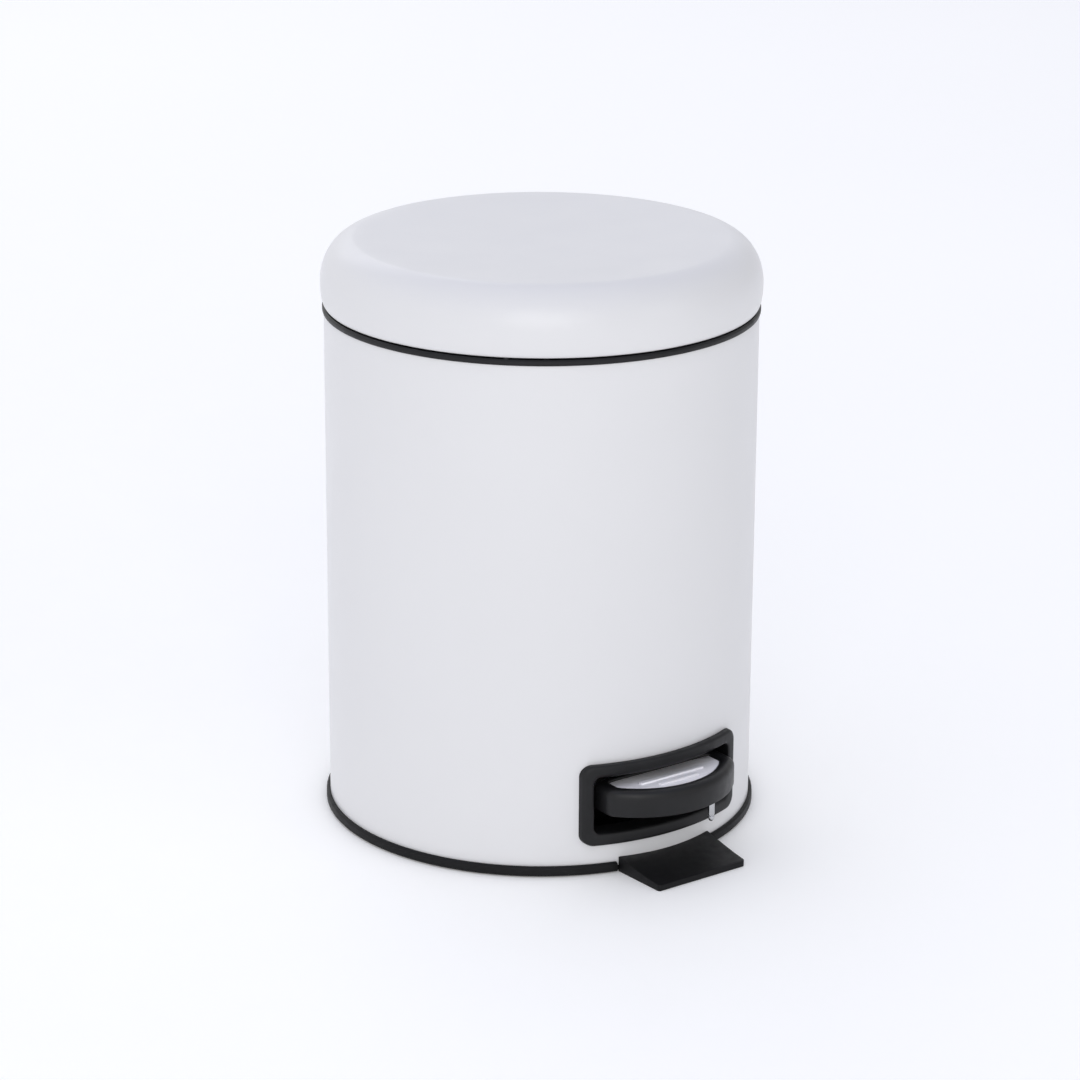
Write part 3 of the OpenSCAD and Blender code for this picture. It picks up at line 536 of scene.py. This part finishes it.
def makeLid(v):
    lid = growPiece("lidDome", makeLidTree(v), {
        "Radius": v["radius"] * mm, "Shoulder Width": v["shoulderWidth"] * mm,
        "Shoulder Height": v["shoulderHeight"] * mm, "Shoulder Base": v["shoulderBase"] * mm, "Dish": v["dish"] * mm,
        "Hem In": v["hemIn"] * mm, "Hem Height": v["hemHeight"] * mm, "Notch Half": v["notchHalf"] * mm,
        "Notch Top": v["notchTop"] * mm, "Finish": whiteCoat}, whiteCoat, crease=50)
    faceOut(lid)
    wall = lid.modifiers.new("sheet", "SOLIDIFY")
    wall.thickness, wall.offset = v["sheet"] * mm, -1
    addBevel(lid, 0.25, 60)
    return placePiece(lid, "lid", "white_enamel", "lid_shell")


def faceOut(piece):
    # an open sheet's faces are turned to look away from the bin's axis
    mesh = piece.data
    axis = Vector((1, 1, 0))
    if sum(p.area * (p.normal.dot(p.center * axis) + p.normal.z * 0.02) for p in mesh.polygons) < 0:
        mesh.flip_normals()


lid = makeLid(lidShape)
print("lid made")


# body: rolled sheet with the pedal opening and a welded seam behind

bodyShape = {"radius": 100.5, "sheet": 0.6, "low": 3.0, "high": 242.0, "openHalf": 40.2, "openLow": 19.0,
             "openHigh": 49.6, "corner": 4.9, "notchHalf": 3.0, "notchLow": 235.0, "seamDepth": 0.12, "seamHalf": 0.7,
             "clearTurn": 0.012, "cornerSteps": 12, "flatSteps": 20, "roundSteps": 200, "rows": (3, 6, 14)}


def makeBody(v):
    xs = []                                   # columns across the opening, close together at its corners
    flat = v["openHalf"] - v["corner"]
    for k in range(1, v["cornerSteps"] + 1):
        xs.append(flat + v["corner"] * math.sin(math.radians(90 * k / v["cornerSteps"])))
    across = [flat * k / v["flatSteps"] for k in range(-v["flatSteps"], v["flatSteps"] + 1)]
    xs = [-x for x in reversed(xs)] + across + xs
    turns = [(math.asin(x / v["radius"]), x) for x in xs]
    edge = turns[-1][0]
    rest = [edge + (2 * math.pi - 2 * edge) * k / v["roundSteps"] for k in range(1, v["roundSteps"])]
    marks = (-v["notchHalf"], -v["seamHalf"], 0, v["seamHalf"], v["notchHalf"])
    back = [math.pi + math.asin(x / v["radius"]) for x in marks]
    rest = sorted([a for a in rest if min(abs(a - b) for b in back) > v["clearTurn"]] + back)
    columns = [(a, x) for a, x in turns] + [(a, None) for a in rest]
    lowSteps, midSteps, highSteps = v["rows"]

    def heights(x):
        low, high = v["openLow"] + v["corner"], v["openHigh"] - v["corner"]
        if x is not None:
            away = max(abs(x) - flat, 0)
            drop = v["corner"] - math.sqrt(max(v["corner"] ** 2 - away ** 2, 0))
            low, high = v["openLow"] + drop, v["openHigh"] - drop
        rows = [v["low"] + (low - v["low"]) * k / lowSteps for k in range(lowSteps + 1)]
        rows += [low + (high - low) * k / midSteps for k in range(1, midSteps + 1)]
        top = v["notchLow"]
        rows += [high + (top - high) * k / highSteps for k in range(1, highSteps + 1)]
        return rows + [v["high"]]

    points, count = [], lowSteps + midSteps + highSteps + 2
    for a, x in columns:
        onSeam = abs(a - math.pi) < v["clearTurn"] / 3
        r = v["radius"] - (v["seamDepth"] if onSeam else 0)
        points += [(r * math.sin(a), -r * math.cos(a), z) for z in heights(x)]
    faces, total = [], len(columns)
    for c in range(total):
        after = (c + 1) % total
        inOpening = columns[c][1] is not None and columns[after][1] is not None
        middle = (columns[c][0] + (columns[after][0] if after else 2 * math.pi)) / 2
        inNotch = abs(middle - math.pi) < math.asin(v["notchHalf"] / v["radius"])
        for r in range(count - 1):
            if inOpening and lowSteps <= r < lowSteps + midSteps:
                continue
            if inNotch and r == count - 2:
                continue
            faces.append((c * count + r, after * count + r, after * count + r + 1, c * count + r + 1))
    body = makePiece("bodyShell", points, faces, whiteCoat, 50)
    work = bmesh.new()
    work.from_mesh(body.data)
    bmesh.ops.delete(work, geom=[p for p in work.verts if not p.link_faces], context="VERTS")
    work.to_mesh(body.data)
    work.free()
    faceOut(body)
    wall = body.modifiers.new("sheet", "SOLIDIFY")
    wall.thickness, wall.offset = v["sheet"] * mm, -1
    addBevel(body, 0.15, 60)
    return placePiece(body, "housing", "white_enamel", "outer_shell")


makeBody(bodyShape)
print("body made")


# frame round the pedal opening

frameShape = {"outerHalf": 43.8, "outerLow": 14.7, "outerHigh": 53.9, "outerCorner": 5.4, "innerHalf": 38.6,
              "innerLow": 20.6, "innerHigh": 48.0, "innerCorner": 3.5, "back": 100.62, "front": 103.7,
              "sleeveBack": 92.95, "sleeveSide": 0.25, "lugX": (39.5, 47.0), "lugZ": (29.4, 39.2),
              "lugRadii": (94.2, 99.7)}


def roundWindow(half, low, high, corner, steps=9, along=26, up=8):
    # one closed run round a rounded rectangle in X and Z, with the same count for any size
    out = []
    centres = ((half - corner, high - corner, 0), (-half + corner, high - corner, 90),
               (-half + corner, low + corner, 180), (half - corner, low + corner, 270))
    for k, (cx, cz, start) in enumerate(centres):
        arc = [(cx + corner * math.cos(math.radians(start + 90 * i / steps)),
                cz + corner * math.sin(math.radians(start + 90 * i / steps))) for i in range(steps + 1)]
        nx, nz, begin = centres[(k + 1) % 4]
        goal = (nx + corner * math.cos(math.radians(begin)), nz + corner * math.sin(math.radians(begin)))
        count = along if k in (0, 2) else up
        out += arc + [(arc[-1][0] + (goal[0] - arc[-1][0]) * i / count,
                       arc[-1][1] + (goal[1] - arc[-1][1]) * i / count) for i in range(1, count)]
    return out


def onCylinder(x, z, r):
    return (x, -math.sqrt(r * r - x * x), z)


def makeSlotFrame(v):
    outer = roundWindow(v["outerHalf"], v["outerLow"], v["outerHigh"], v["outerCorner"])
    inner = roundWindow(v["innerHalf"], v["innerLow"], v["innerHigh"], v["innerCorner"])
    front, back, side = v["front"], v["back"], v["sleeveSide"]
    # share of the way from the inner to the outer edge, and radius
    section = [(1, back), (1, front - 1.5), (0.985, front - 0.8), (0.93, front - 0.3), (0.84, front - 0.05),
               (0.76, front), (0.3, front - 0.12), (0.17, front - 0.2), (0.07, front - 0.5), (0.01, front - 1.1),
               (0, front - 2), (0, 98), (0, v["sleeveBack"] + 0.3), (0.05, v["sleeveBack"]), (side, v["sleeveBack"]),
               (side, 97), (side, back)]
    loops = [[onCylinder(i[0] + (o[0] - i[0]) * t, i[1] + (o[1] - i[1]) * t, r) for i, o in zip(inner, outer)]
             for t, r in section]
    shells = [loft(loops, ringed=True)]
    for s in (-1, 1):                         # lugs behind the sheet, which the screws go into
        x0, x1 = sorted((s * v["lugX"][0], s * v["lugX"][1]))
        z0, z1 = v["lugZ"]
        ring = lambda r: [onCylinder(x, z, r) for x, z in ((x0, z0), (x1, z0), (x1, z1), (x0, z1))]
        shells.append(loft([ring(r) for r in v["lugRadii"]]))
    piece = makePiece("slotSurround", *joinShells(shells), blackMoulding, 38)
    return placePiece(piece, "housing", "black_plastic", "slot_frame")


makeSlotFrame(frameShape)
print("frame made")


# pedal: rounded rim, deck and brushed tread with two ribs

pedalShape = {"half": 36.0, "arc": 46.4, "arcCentre": -74.6, "back": -90.4, "low": 31.5, "high": 44.0, "rim": 6.8,
              "deckLow": 38.5, "deckHigh": 41.5, "treadLow": 41.52, "treadHigh": 42.72, "softness": 110,
              "middle": -102.0, "leverHalf": 10.4, "ribs": ((-102.5, 18.0), (-108.0, 11.0)), "ribHalf": 1.3,
              "ribHigh": 43.5, "ribRound": 0.55}


def pedalOutline(v, inset, count=144):
    # a soft minimum of the distances to the front arc, the two sides and the back
    out = []
    for k in range(count):
        a = 2 * math.pi * (k + 0.5) / count
        dx, dy = math.cos(a), math.sin(a)
        off = v["middle"] - v["arcCentre"]
        radius = v["arc"] - inset
        reach = [-off * dy + math.sqrt(max((off * dy) ** 2 - off * off + radius * radius, 0))]
        reach.append((v["half"] - inset) / max(abs(dx), 1e-6))
        if dy > 0:
            reach.append((v["back"] - inset * 0.35 - v["middle"]) / dy)
        d = sum(r ** -v["softness"] for r in reach) ** (-1 / v["softness"])
        out.append((d * dx, v["middle"] + d * dy))
    return out


def makePedal(v):
    low, high, rim = v["low"], v["high"], v["rim"]
    section = [(0.7, low), (0.2, low + 0.25), (0, low + 0.9), (0, high - 4.2), (0.12, high - 2.9), (0.55, high - 1.5),
               (1.4, high - 0.5), (2.5, high - 0.06), (3.6, high), (5.0, high - 0.06), (5.9, high - 0.35),
               (6.5, high - 0.95), (rim, high - 1.8), (rim, v["deckLow"]), (rim, low + 0.6), (rim - 0.5, low)]
    loops = [[(x, y, z) for x, y in pedalOutline(v, inset)] for inset, z in section]
    piece = makePiece("pedalRim", *loft(loops, ringed=True), pedalPlastic, 42)
    half, back = v["leverHalf"], v["back"]
    cutAway(piece, [boxShape(-half, half, back - 12, back + 3, low - 2, v["deckLow"])], 42)
    placePiece(piece, "pedal", "black_plastic", "pedal_rim")
    deck = [[(x, y, z) for x, y in pedalOutline(v, rim - 0.9)] for z in (v["deckLow"] + 0.02, v["deckHigh"])]
    placePiece(makePiece("pedalDeck", *loft(deck), pedalPlastic, 42), "pedal", "black_plastic")
    edge = [(0.5, v["treadLow"]), (0.12, v["treadLow"] + 0.05), (0.1, v["treadHigh"] - 0.35),
            (0.2, v["treadHigh"] - 0.1), (0.5, v["treadHigh"])]
    tread = [[(x, y, z) for x, y in pedalOutline(v, rim + i)] for i, z in edge]
    placePiece(makePiece("treadPlate", *loft(tread), brushedSteel, 40), "pedal", "tread_steel", "tread_plate")
    bar = roundedSlab((-1, -v["ribHalf"], v["treadHigh"] - 0.2), (1, v["ribHalf"], v["ribHigh"]), v["ribRound"])
    # the rib's ends keep their rounding: only its straight part is stretched
    long = [([(x + math.copysign(half - 1, x), y, z) for x, y, z in bar[0]], bar[1]) for _, half in v["ribs"]]
    for k, (y, _) in enumerate(v["ribs"]):
        rib = repeatShape("treadRib" + str(k + 1), long[k], [(0, y, 0)], (0, 0, 1), brushedSteel)
        placePiece(rib, "pedal", "tread_steel")


makePedal(pedalShape)
print("pedal made")


# stop pin under the pedal: a blunt tip, and one groove near its root

pinShape = {"tip": 1.7, "groove": 0.22, "grooveLow": 2.6, "grooveHigh": 3.45, "lip": 0.25, "sides": 40}


def makeStopPin(v):
    low, high = nodeBox("stop_pin")
    x, y, r = (low.x + high.x) / 2, (low.y + high.y) / 2, (high.x - low.x) / 2
    neck, start, end = r - v["groove"], low.z + v["grooveLow"], low.z + v["grooveHigh"]
    profile = [(r * math.sin(a), low.z + v["tip"] * (1 - math.cos(a))) for a in map(math.radians, range(0, 91, 15))]
    profile += [(r, start), (neck, start + v["lip"]), (neck, end - v["lip"]), (r, end), (r, high.z), (0, high.z)]
    piece = makePiece("stopPin", *lathe(profile, v["sides"], centre=(x, y, 0)), brightWire, 40)
    return placePiece(piece, "pedal", "bright_wire", "stop_pin")


makeStopPin(pinShape)


# screws and rivets

screwShape = {"recess": 0.62, "recessFloor": 0.35, "shank": 1.5, "sides": 48}
# the node it stands for, the way its head faces, the axes with a screw at each end, head radius and height
screwPlan = {
    "footScrews": ("foot_screws", (0, 0, -1), (0,), 2.9, 0.8, "housing"),
    "frameScrews": ("frame_screws", (0, 1, 0), (0,), 2.8, 1.6, "housing"),
    "bracketScrews": ("bracket_screws", (0, 0, 1), (0, 1), 2.7, 1.8, "housing"),
    "pedalScrews": ("pedal_screws", (0, 0, -1), (1,), 2.7, 1.45, "pedal"),
}


def screwMesh(v, head, thick, length):
    # a pan head with a cross recess, its shank running down from 0
    def ring(r, z, cross=0.0):
        out = []
        for k in range(v["sides"]):
            a = 2 * math.pi * k / v["sides"]
            wave = 1 - cross * (1 - abs(math.cos(2 * a)) ** 2.5)
            out.append((r * wave * math.cos(a), r * wave * math.sin(a), z))
        return out
    rec, shank = head * v["recess"], v["shank"]
    return loft([ring(shank * 0.7, -length), ring(shank, -length + 0.6), ring(shank, 0), ring(head - 0.1, 0),
                 ring(head, 0.12), ring(head * 0.97, thick * 0.5), ring(head * 0.86, thick * 0.83),
                 ring(head * 0.7, thick), ring(rec, thick, 0.62), ring(rec * 0.8, thick * v["recessFloor"], 0.66)])


def rivetMesh(head, thick, shank, length):
    # a domed head at each end of a plain shank
    dome = [(head * math.sin(math.radians(a)), thick * math.cos(math.radians(a))) for a in (0, 27, 51, 74, 90)]
    below = [(r, -length - z) for r, z in reversed(dome)]
    return lathe(dome + [(shank, 0.0), (shank, -length)] + below, 40)


def boxSpots(low, high, heading, axes, head, thick):
    # under the heads: on the side of the box that the heading points to, inset by the head's radius on each axis
    spots = [[(a + b) / 2 for a, b in zip(low, high)]]
    for axis in axes:
        spots = [p[:axis] + [edge] + p[axis + 1:] for p in spots for edge in (low[axis] + head, high[axis] - head)]
    end = max(range(3), key=lambda k: abs(heading[k]))
    for p in spots:
        p[end] = high[end] - thick if heading[end] > 0 else low[end] + thick
    return [tuple(p) for p in spots]


def makeScrews(v, plan):
    for name, (node, heading, axes, head, thick, body) in plan.items():
        low, high = nodeBox(node)
        length = abs((high - low).dot(Vector(heading))) - thick
        shape = screwMesh(v, head, thick, length)
        piece = repeatShape(name, shape, boxSpots(low, high, heading, axes, head, thick), heading, zincPlate)
        placePiece(piece, body, "zinc_steel", node)


makeScrews(screwShape, screwPlan)


# the two rows of hinge rivets end on different inner faces
rivetShape = {"hingeHead": 2.8, "hingeThick": 1.0, "lowInner": 98.5, "highInner": 95.9,
              "lidHead": 2.4, "lidThick": 0.8, "shank": 1.6}


def makeRivets(v):
    low, high = nodeBox("hinge_rivets")
    head, thick = v["hingeHead"], v["hingeThick"]
    outer = high.y - thick
    rows = {"hingeRivetsLow": (low.z + head, v["lowInner"], ["hinge_rivets"]),
            "hingeRivetsHigh": (high.z - head, v["highInner"], [])}
    for name, (z, inner, nodes) in rows.items():
        spots = [(x, outer, z) for x in (low.x + head, high.x - head)]
        piece = repeatShape(name, rivetMesh(head, thick, v["shank"], outer - inner), spots, (0, 1, 0), brightWire)
        placePiece(piece, "housing", "bright_wire", *nodes)
    low, high = nodeBox("lid_rivets")
    head, thick = v["lidHead"], v["lidThick"]
    spots = boxSpots(low, high, (0, 1, 0), (0,), head, thick)
    shape = rivetMesh(head, thick, v["shank"], high.y - low.y - 2 * thick)
    placePiece(repeatShape("lidRivets", shape, spots, (0, 1, 0), brightWire), "lid", "bright_wire", "lid_rivets")


makeRivets(rivetShape)


bufferShape = {"radius": 1.2, "edge": 0.35, "shoulder": 0.58, "taper": 0.8}


def makeBuffers(v):
    low, high = nodeBox("lid_buffers")
    r = v["radius"]
    at = high.x - r
    profile = [(0, 0), (r, 0), (r, v["edge"]), (r * v["taper"], v["shoulder"]), (0, high.z - low.z)]
    spots = [(x * at, y * at, low.z) for x in (-1, 1) for y in (-1, 1)]
    piece = repeatShape("lidBuffers", lathe(profile, 24), spots, (0, 0, 1), blackRubber)
    placePiece(piece, "housing", "black_rubber", "lid_buffers")


makeBuffers(bufferShape)
print("fasteners made")


# wires: push rod and the bucket's carrying wire

wireShape = {"rodRadius": 1.5, "rodAt": 4.8, "rodBend": 3.0, "rodPlay": 0.1, "sides": 24, "bailRadius": 1.4,
             "bailArc": 88.4, "bailEnd": 81.8, "bailBend": 3.2, "bendTurn": 2.1}


def makePushRod(v):
    low, high = nodeBox("push_rod")
    y, x, inset = (low.y + high.y) / 2, v["rodAt"], v["rodRadius"] + v["rodPlay"]
    path = [(high.x, y, low.z + inset), (x, y, low.z + inset), (x, y, high.z - inset), (low.x, y, high.z - inset)]
    bar = tube(roundPath(path, v["rodBend"], 10), v["rodRadius"], v["sides"], 0.4)
    return placePiece(makePiece("pushRod", *bar, springSteel, 50), "rod", "spring_steel", "push_rod")


def makeBail(v):
    low, high = nodeBox("bail_wire")
    z, arc, skip = (low.z + high.z) / 2, v["bailArc"], v["bendTurn"]

    def onArc(turn):
        return (-arc * math.cos(math.radians(turn)), -arc * math.sin(math.radians(turn)), z)

    # a straight end through the lug, a short bend, then the arc and the same again on the other side
    start, corner, finish = Vector((-arc + v["bailBend"], 0, z)), Vector((-arc, 0, z)), Vector(onArc(skip))
    steps = [k / 10 for k in range(10)]
    bend = [tuple(start * (1 - t) ** 2 + corner * 2 * t * (1 - t) + finish * t * t) for t in steps]
    first = [(-v["bailEnd"], 0, z)] + bend
    sweep = [onArc(skip + (180 - 2 * skip) * k / 120) for k in range(121)]
    path = first + sweep + [(-px, py, pz) for px, py, pz in reversed(first)]
    piece = makePiece("bailWire", *tube(path, v["bailRadius"], v["sides"], 0.4), brightWire, 50)
    return placePiece(piece, "bail", "bright_wire", "bail_wire")


makePushRod(wireShape)
makeBail(wireShape)


gripShape = {"arc": 88.4, "radius": 3.3, "waist": 0.35, "half": 16.0, "ribs": 15, "ribRadius": 3.72,
             "ribInside": 1.6, "ribWidth": 1.0, "ribShare": 0.84, "steps": 60}


def makeGrip(v):
    low, high = nodeBox("bail_grip")
    z, n = (low.z + high.z) / 2, v["steps"]
    angles = [-v["half"] + 2 * v["half"] * k / n for k in range(n + 1)]

    def spot(a):
        return (v["arc"] * math.sin(math.radians(a)), -v["arc"] * math.cos(math.radians(a)), z)

    radii = [v["radius"] - v["waist"] * math.cos(math.pi * k / n * 2 - math.pi) * 0.5 for k in range(n + 1)]
    core = makePiece("bailGrip", *tube([spot(a) for a in angles], radii, 28, 1.2), blackMoulding, 40)
    placePiece(core, "bail", "black_plastic", "bail_grip")
    reach, inside, side = v["ribRadius"], v["ribInside"], v["ribWidth"] / 2
    ring = roundLoop([(inside, -side), (reach, -side), (reach, side), (inside, side)], 0.35, 3)
    reachTurn = v["half"] * v["ribShare"]
    turns = [-reachTurn + 2 * reachTurn * k / (v["ribs"] - 1) for k in range(v["ribs"])]
    along = [(math.cos(math.radians(a)), math.sin(math.radians(a)), 0) for a in turns]
    ribs = repeatShape("gripRibs", lathe(ring, 32), [spot(a) for a in turns], along, blackMoulding)
    placePiece(ribs, "bail", "black_plastic")


makeGrip(gripShape)
print("wires made")


# inner bucket

bucketShape = {"low": 56.0, "top": 230.0, "rim": 90.0, "topRadius": 85.8, "footRadius": 76.0, "wall": 1.6,
               "lugIn": 83.8, "lugOut": 86.6, "lugHigh": 234.5, "lugRadius": 4.0, "lugHole": 1.5, "lugHalf": 5.2,
               "beads": ((210.0, 85.0), (203.5, 84.7))}


def lugShell(v, side):
    # a flat lug with a round hole, its outline sampled round the hole
    outer, inner, n = [], [], 48
    foot = v["lugHigh"] - (v["top"] - 0.6)
    for k in range(n):
        a = 2 * math.pi * k / n
        dy, dz = math.cos(a), math.sin(a)
        reach = v["lugRadius"]
        if dz < 0:
            reach = min(foot / -dz, v["lugHalf"] / max(abs(dy), 0.01), math.hypot(v["lugHalf"], foot))
            reach = max(reach, v["lugRadius"]) if foot / -dz > v["lugRadius"] else foot / -dz
        outer.append((dy * reach, v["lugHigh"] + dz * reach))
        inner.append((dy * v["lugHole"], v["lugHigh"] + dz * v["lugHole"]))
    x0, x1 = side * v["lugIn"], side * v["lugOut"]
    rims = ((x0, inner), (x0, outer), (x1, outer), (x1, inner))
    return loft([[(x, y, z) for y, z in run] for x, run in rims], ringed=True)


def makeBucket(v):
    low, top, foot, wall = v["low"], v["top"], v["footRadius"], v["wall"]
    inside = v["topRadius"] - wall
    outline = [(0, low + 1), (foot - 8, low + 1), (foot - 7, low), (foot - 1, low), (v["topRadius"], top - 2),
               (v["rim"], top - 1.9), (v["rim"], top), (inside, top), (foot - wall, low + 1 + wall),
               (0, low + 1 + wall)]
    radii = [0, 0.6, 0.5, 2.6, 1.2, 0.6, 0.7, 0.7, 4.0, 0]
    profile = roundPath(outline, radii, 6)
    shells = [lathe(profile, 200), lugShell(v, -1), lugShell(v, 1)]
    # two stiffening beads under the rim
    for z, r in v["beads"]:
        slope = [(r - 0.9, z - 1.6), (r - 0.05, z - 1.2), (r + 0.55, z), (r - 0.05, z + 1.2), (r - 0.9, z + 1.6)]
        shells.append(lathe(slope, 200))
    piece = makePiece("bucketLiner", *joinShells(shells), bucketPlastic, 38)
    placePiece(piece, "bucket", "bucket_plastic", "inner_bucket")


makeBucket(bucketShape)
print("bucket made")


# rubber ring under the base, with moulded grip grooves

ringShape = {"width": 10.0, "gapHalf": 23.0, "grooveAt": 2.6, "grooveWidth": 1.4, "grooveSlope": 0.4,
             "grooveDeep": 0.7, "edgeRound": 0.4, "topRound": 0.15, "grooveRound": 0.1, "steps": 180}


def makeFloorRing(v):
    high = nodeBox("floor_ring")[1]
    outer, inner, deep = high.x, high.x - v["width"], v["grooveDeep"]
    near, far, slope = v["grooveAt"], v["grooveAt"] + v["grooveWidth"], v["grooveSlope"]
    groove = [(near, 0), (near + slope, deep), (far - slope, deep), (far, 0)]
    corners = [(inner, 0)] + [(inner + d, z) for d, z in groove] + [(outer - d, z) for d, z in reversed(groove)]
    corners += [(outer, 0), (outer, high.z), (inner, high.z)]
    rounds = [v["edgeRound"]] + [v["grooveRound"], 0, 0, v["grooveRound"]] * 2
    rounds += [v["edgeRound"], v["topRound"], v["topRound"]]
    section = roundLoop(corners, rounds, 3)
    start = math.asin(v["gapHalf"] / (outer - v["width"] / 2))
    turns = [start + (2 * math.pi - 2 * start) * k / v["steps"] for k in range(v["steps"] + 1)]
    loops = [[(r * math.sin(a), -r * math.cos(a), z) for r, z in section] for a in turns]
    placePiece(makePiece("floorRing", *loft(loops), blackRubber, 40), "housing", "black_rubber", "floor_ring")


makeFloorRing(ringShape)
print("floor ring made")


# the rest keeps its shape and gets softened edges and a finish

dressing = {
    "base_moulding": (basePlastic, 0.15), "stabiliser_foot": (basePlastic, 0.45), "collar": (blackMoulding, 0.2),
    "hinge_block": (blackMoulding, 0.35), "hinge_pin": (brightWire, 0.2), "pivot_bracket": (zincPlate, 0.25),
    "pivot_axle": (brightWire, 0.2), "axle_clips": (springSteel, 0.12), "pivot_washers": (nylonWhite, 0.12),
    "rod_guide": (blackMoulding, 0.2), "lever_arm": (zincPlate, 0.25), "rod_clips": (springSteel, 0.12),
    "lid_bracket": (zincPlate, 0.25),
}


def makeSmoothTree():
    tree, given = startTree("softShade", [("Geometry", "Geometry"), ("Sharp Angle", "Float")])
    plain = addNode(tree, "GeometryNodeRemoveAttribute", None,
                    {"Geometry": given["Geometry"], "Name": "custom_normal"})
    faces = addNode(tree, "GeometryNodeSetShadeSmooth", {"domain": "FACE"},
                    {"Geometry": plain.outputs[0], "Shade Smooth": True})
    turn = tree.nodes.new("GeometryNodeInputMeshEdgeAngle")
    soft = calc(tree, "LESS_THAN", turn.outputs[0], given["Sharp Angle"])
    edges = addNode(tree, "GeometryNodeSetShadeSmooth", {"domain": "EDGE"},
                    {"Geometry": faces.outputs[0], "Shade Smooth": soft})
    out = tree.nodes.new("NodeGroupOutput")
    tree.links.new(edges.outputs[0], out.inputs[0])
    return tree


smoothTree = makeSmoothTree()


def dressNode(node, material, width):
    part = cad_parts[node]
    for slot in part.material_slots:
        slot.material = material
    weld = part.modifiers.new("weld", "WELD")
    weld.merge_threshold = 4e-6
    flats = part.modifiers.new("flats", "DECIMATE")
    flats.decimate_type, flats.angle_limit = "DISSOLVE", math.radians(0.6)
    addBevel(part, width, 38)
    shade = part.modifiers.new("shade", "NODES")
    shade.node_group = smoothTree
    keys = {s.name: s.identifier for s in smoothTree.interface.items_tree if s.in_out == "INPUT"}
    shade[keys["Sharp Angle"]] = math.radians(36)


for node, (material, width) in dressing.items():
    dressNode(node, material, width)
print("frame nodes dressed")


# floor and light

# x, y, z in metres, power, size and colour of each lamp
lightPlan = {"world": 0.98, "darkSide": 0.56, "darkTurn": 62.0, "darkFrom": 0.1, "darkTo": 0.95,
             "zenith": (0.79, 0.815, 0.95), "skyFrom": 0.35, "skyTo": 0.8,
             "lamps": {"key": (-1.5, -2.1, 1.25, 14.0, 1.5, (1.0, 0.995, 0.985)),
                       "fill": (1.2, -2.2, 0.9, 3.0, 1.2, (1, 1, 1)),
                       "top": (0.1, 0.3, 2.3, 1.5, 1.6, (0.86, 0.89, 1.0)),
                       "back": (0.6, 2.2, 1.5, 4.0, 1.4, (1, 1, 1))}}


def makeWorld(v):
    # a white room, a little darker on one side so that the round body turns away from the light
    world = bpy.data.worlds.new("softRoom")
    world.use_nodes = True
    tree = world.node_tree
    turn = math.radians(v["darkTurn"])
    looking = addNode(tree, "ShaderNodeTexCoord")
    side = addNode(tree, "ShaderNodeVectorMath", {"operation": "DOT_PRODUCT"},
                   {0: looking.outputs["Generated"], 1: (math.sin(turn), -math.cos(turn), 0.0)})
    power = addNode(tree, "ShaderNodeMapRange", {"interpolation_type": "SMOOTHSTEP"},
                    {"Value": side.outputs["Value"], "From Min": v["darkFrom"], "From Max": v["darkTo"],
                     "To Min": v["world"], "To Max": v["world"] * v["darkSide"]})
    back = tree.nodes["Background"]
    upright = addNode(tree, "ShaderNodeSeparateXYZ", None, {0: looking.outputs["Generated"]})
    sky = addNode(tree, "ShaderNodeValToRGB", None, {"Fac": upright.outputs[2]})
    sky.color_ramp.elements[0].position, sky.color_ramp.elements[1].position = v["skyFrom"], v["skyTo"]
    sky.color_ramp.elements[0].color, sky.color_ramp.elements[1].color = (1, 1, 1, 1), (*v["zenith"], 1)
    tree.links.new(sky.outputs[0], back.inputs["Color"])
    tree.links.new(power.outputs[0], back.inputs["Strength"])
    bpy.context.scene.world = world


def makeStage(v):
    mesh = bpy.data.meshes.new("floor")
    mesh.from_pydata([(-8, -8, 0), (8, -8, 0), (8, 8, 0), (-8, 8, 0)], [], [(0, 1, 2, 3)])
    mesh.materials.append(paleFloor)
    floor = bpy.data.objects.new("floor", mesh)
    bpy.context.scene.collection.objects.link(floor)
    makeWorld(v)
    for name, (x, y, z, power, size, colour) in v["lamps"].items():
        data = bpy.data.lights.new(name + "Light", "AREA")
        data.energy, data.size, data.color = power, size, colour
        lamp = bpy.data.objects.new(name + "Light", data)
        bpy.context.scene.collection.objects.link(lamp)
        aim = Vector((0, 0, 0.13)) - Vector((x, y, z))
        lamp.location = (x, y, z)
        lamp.rotation_euler = aim.to_track_quat("-Z", "Y").to_euler()
    bpy.context.scene.view_settings.view_transform = "Standard"


makeStage(lightPlan)
print("floor and light set")
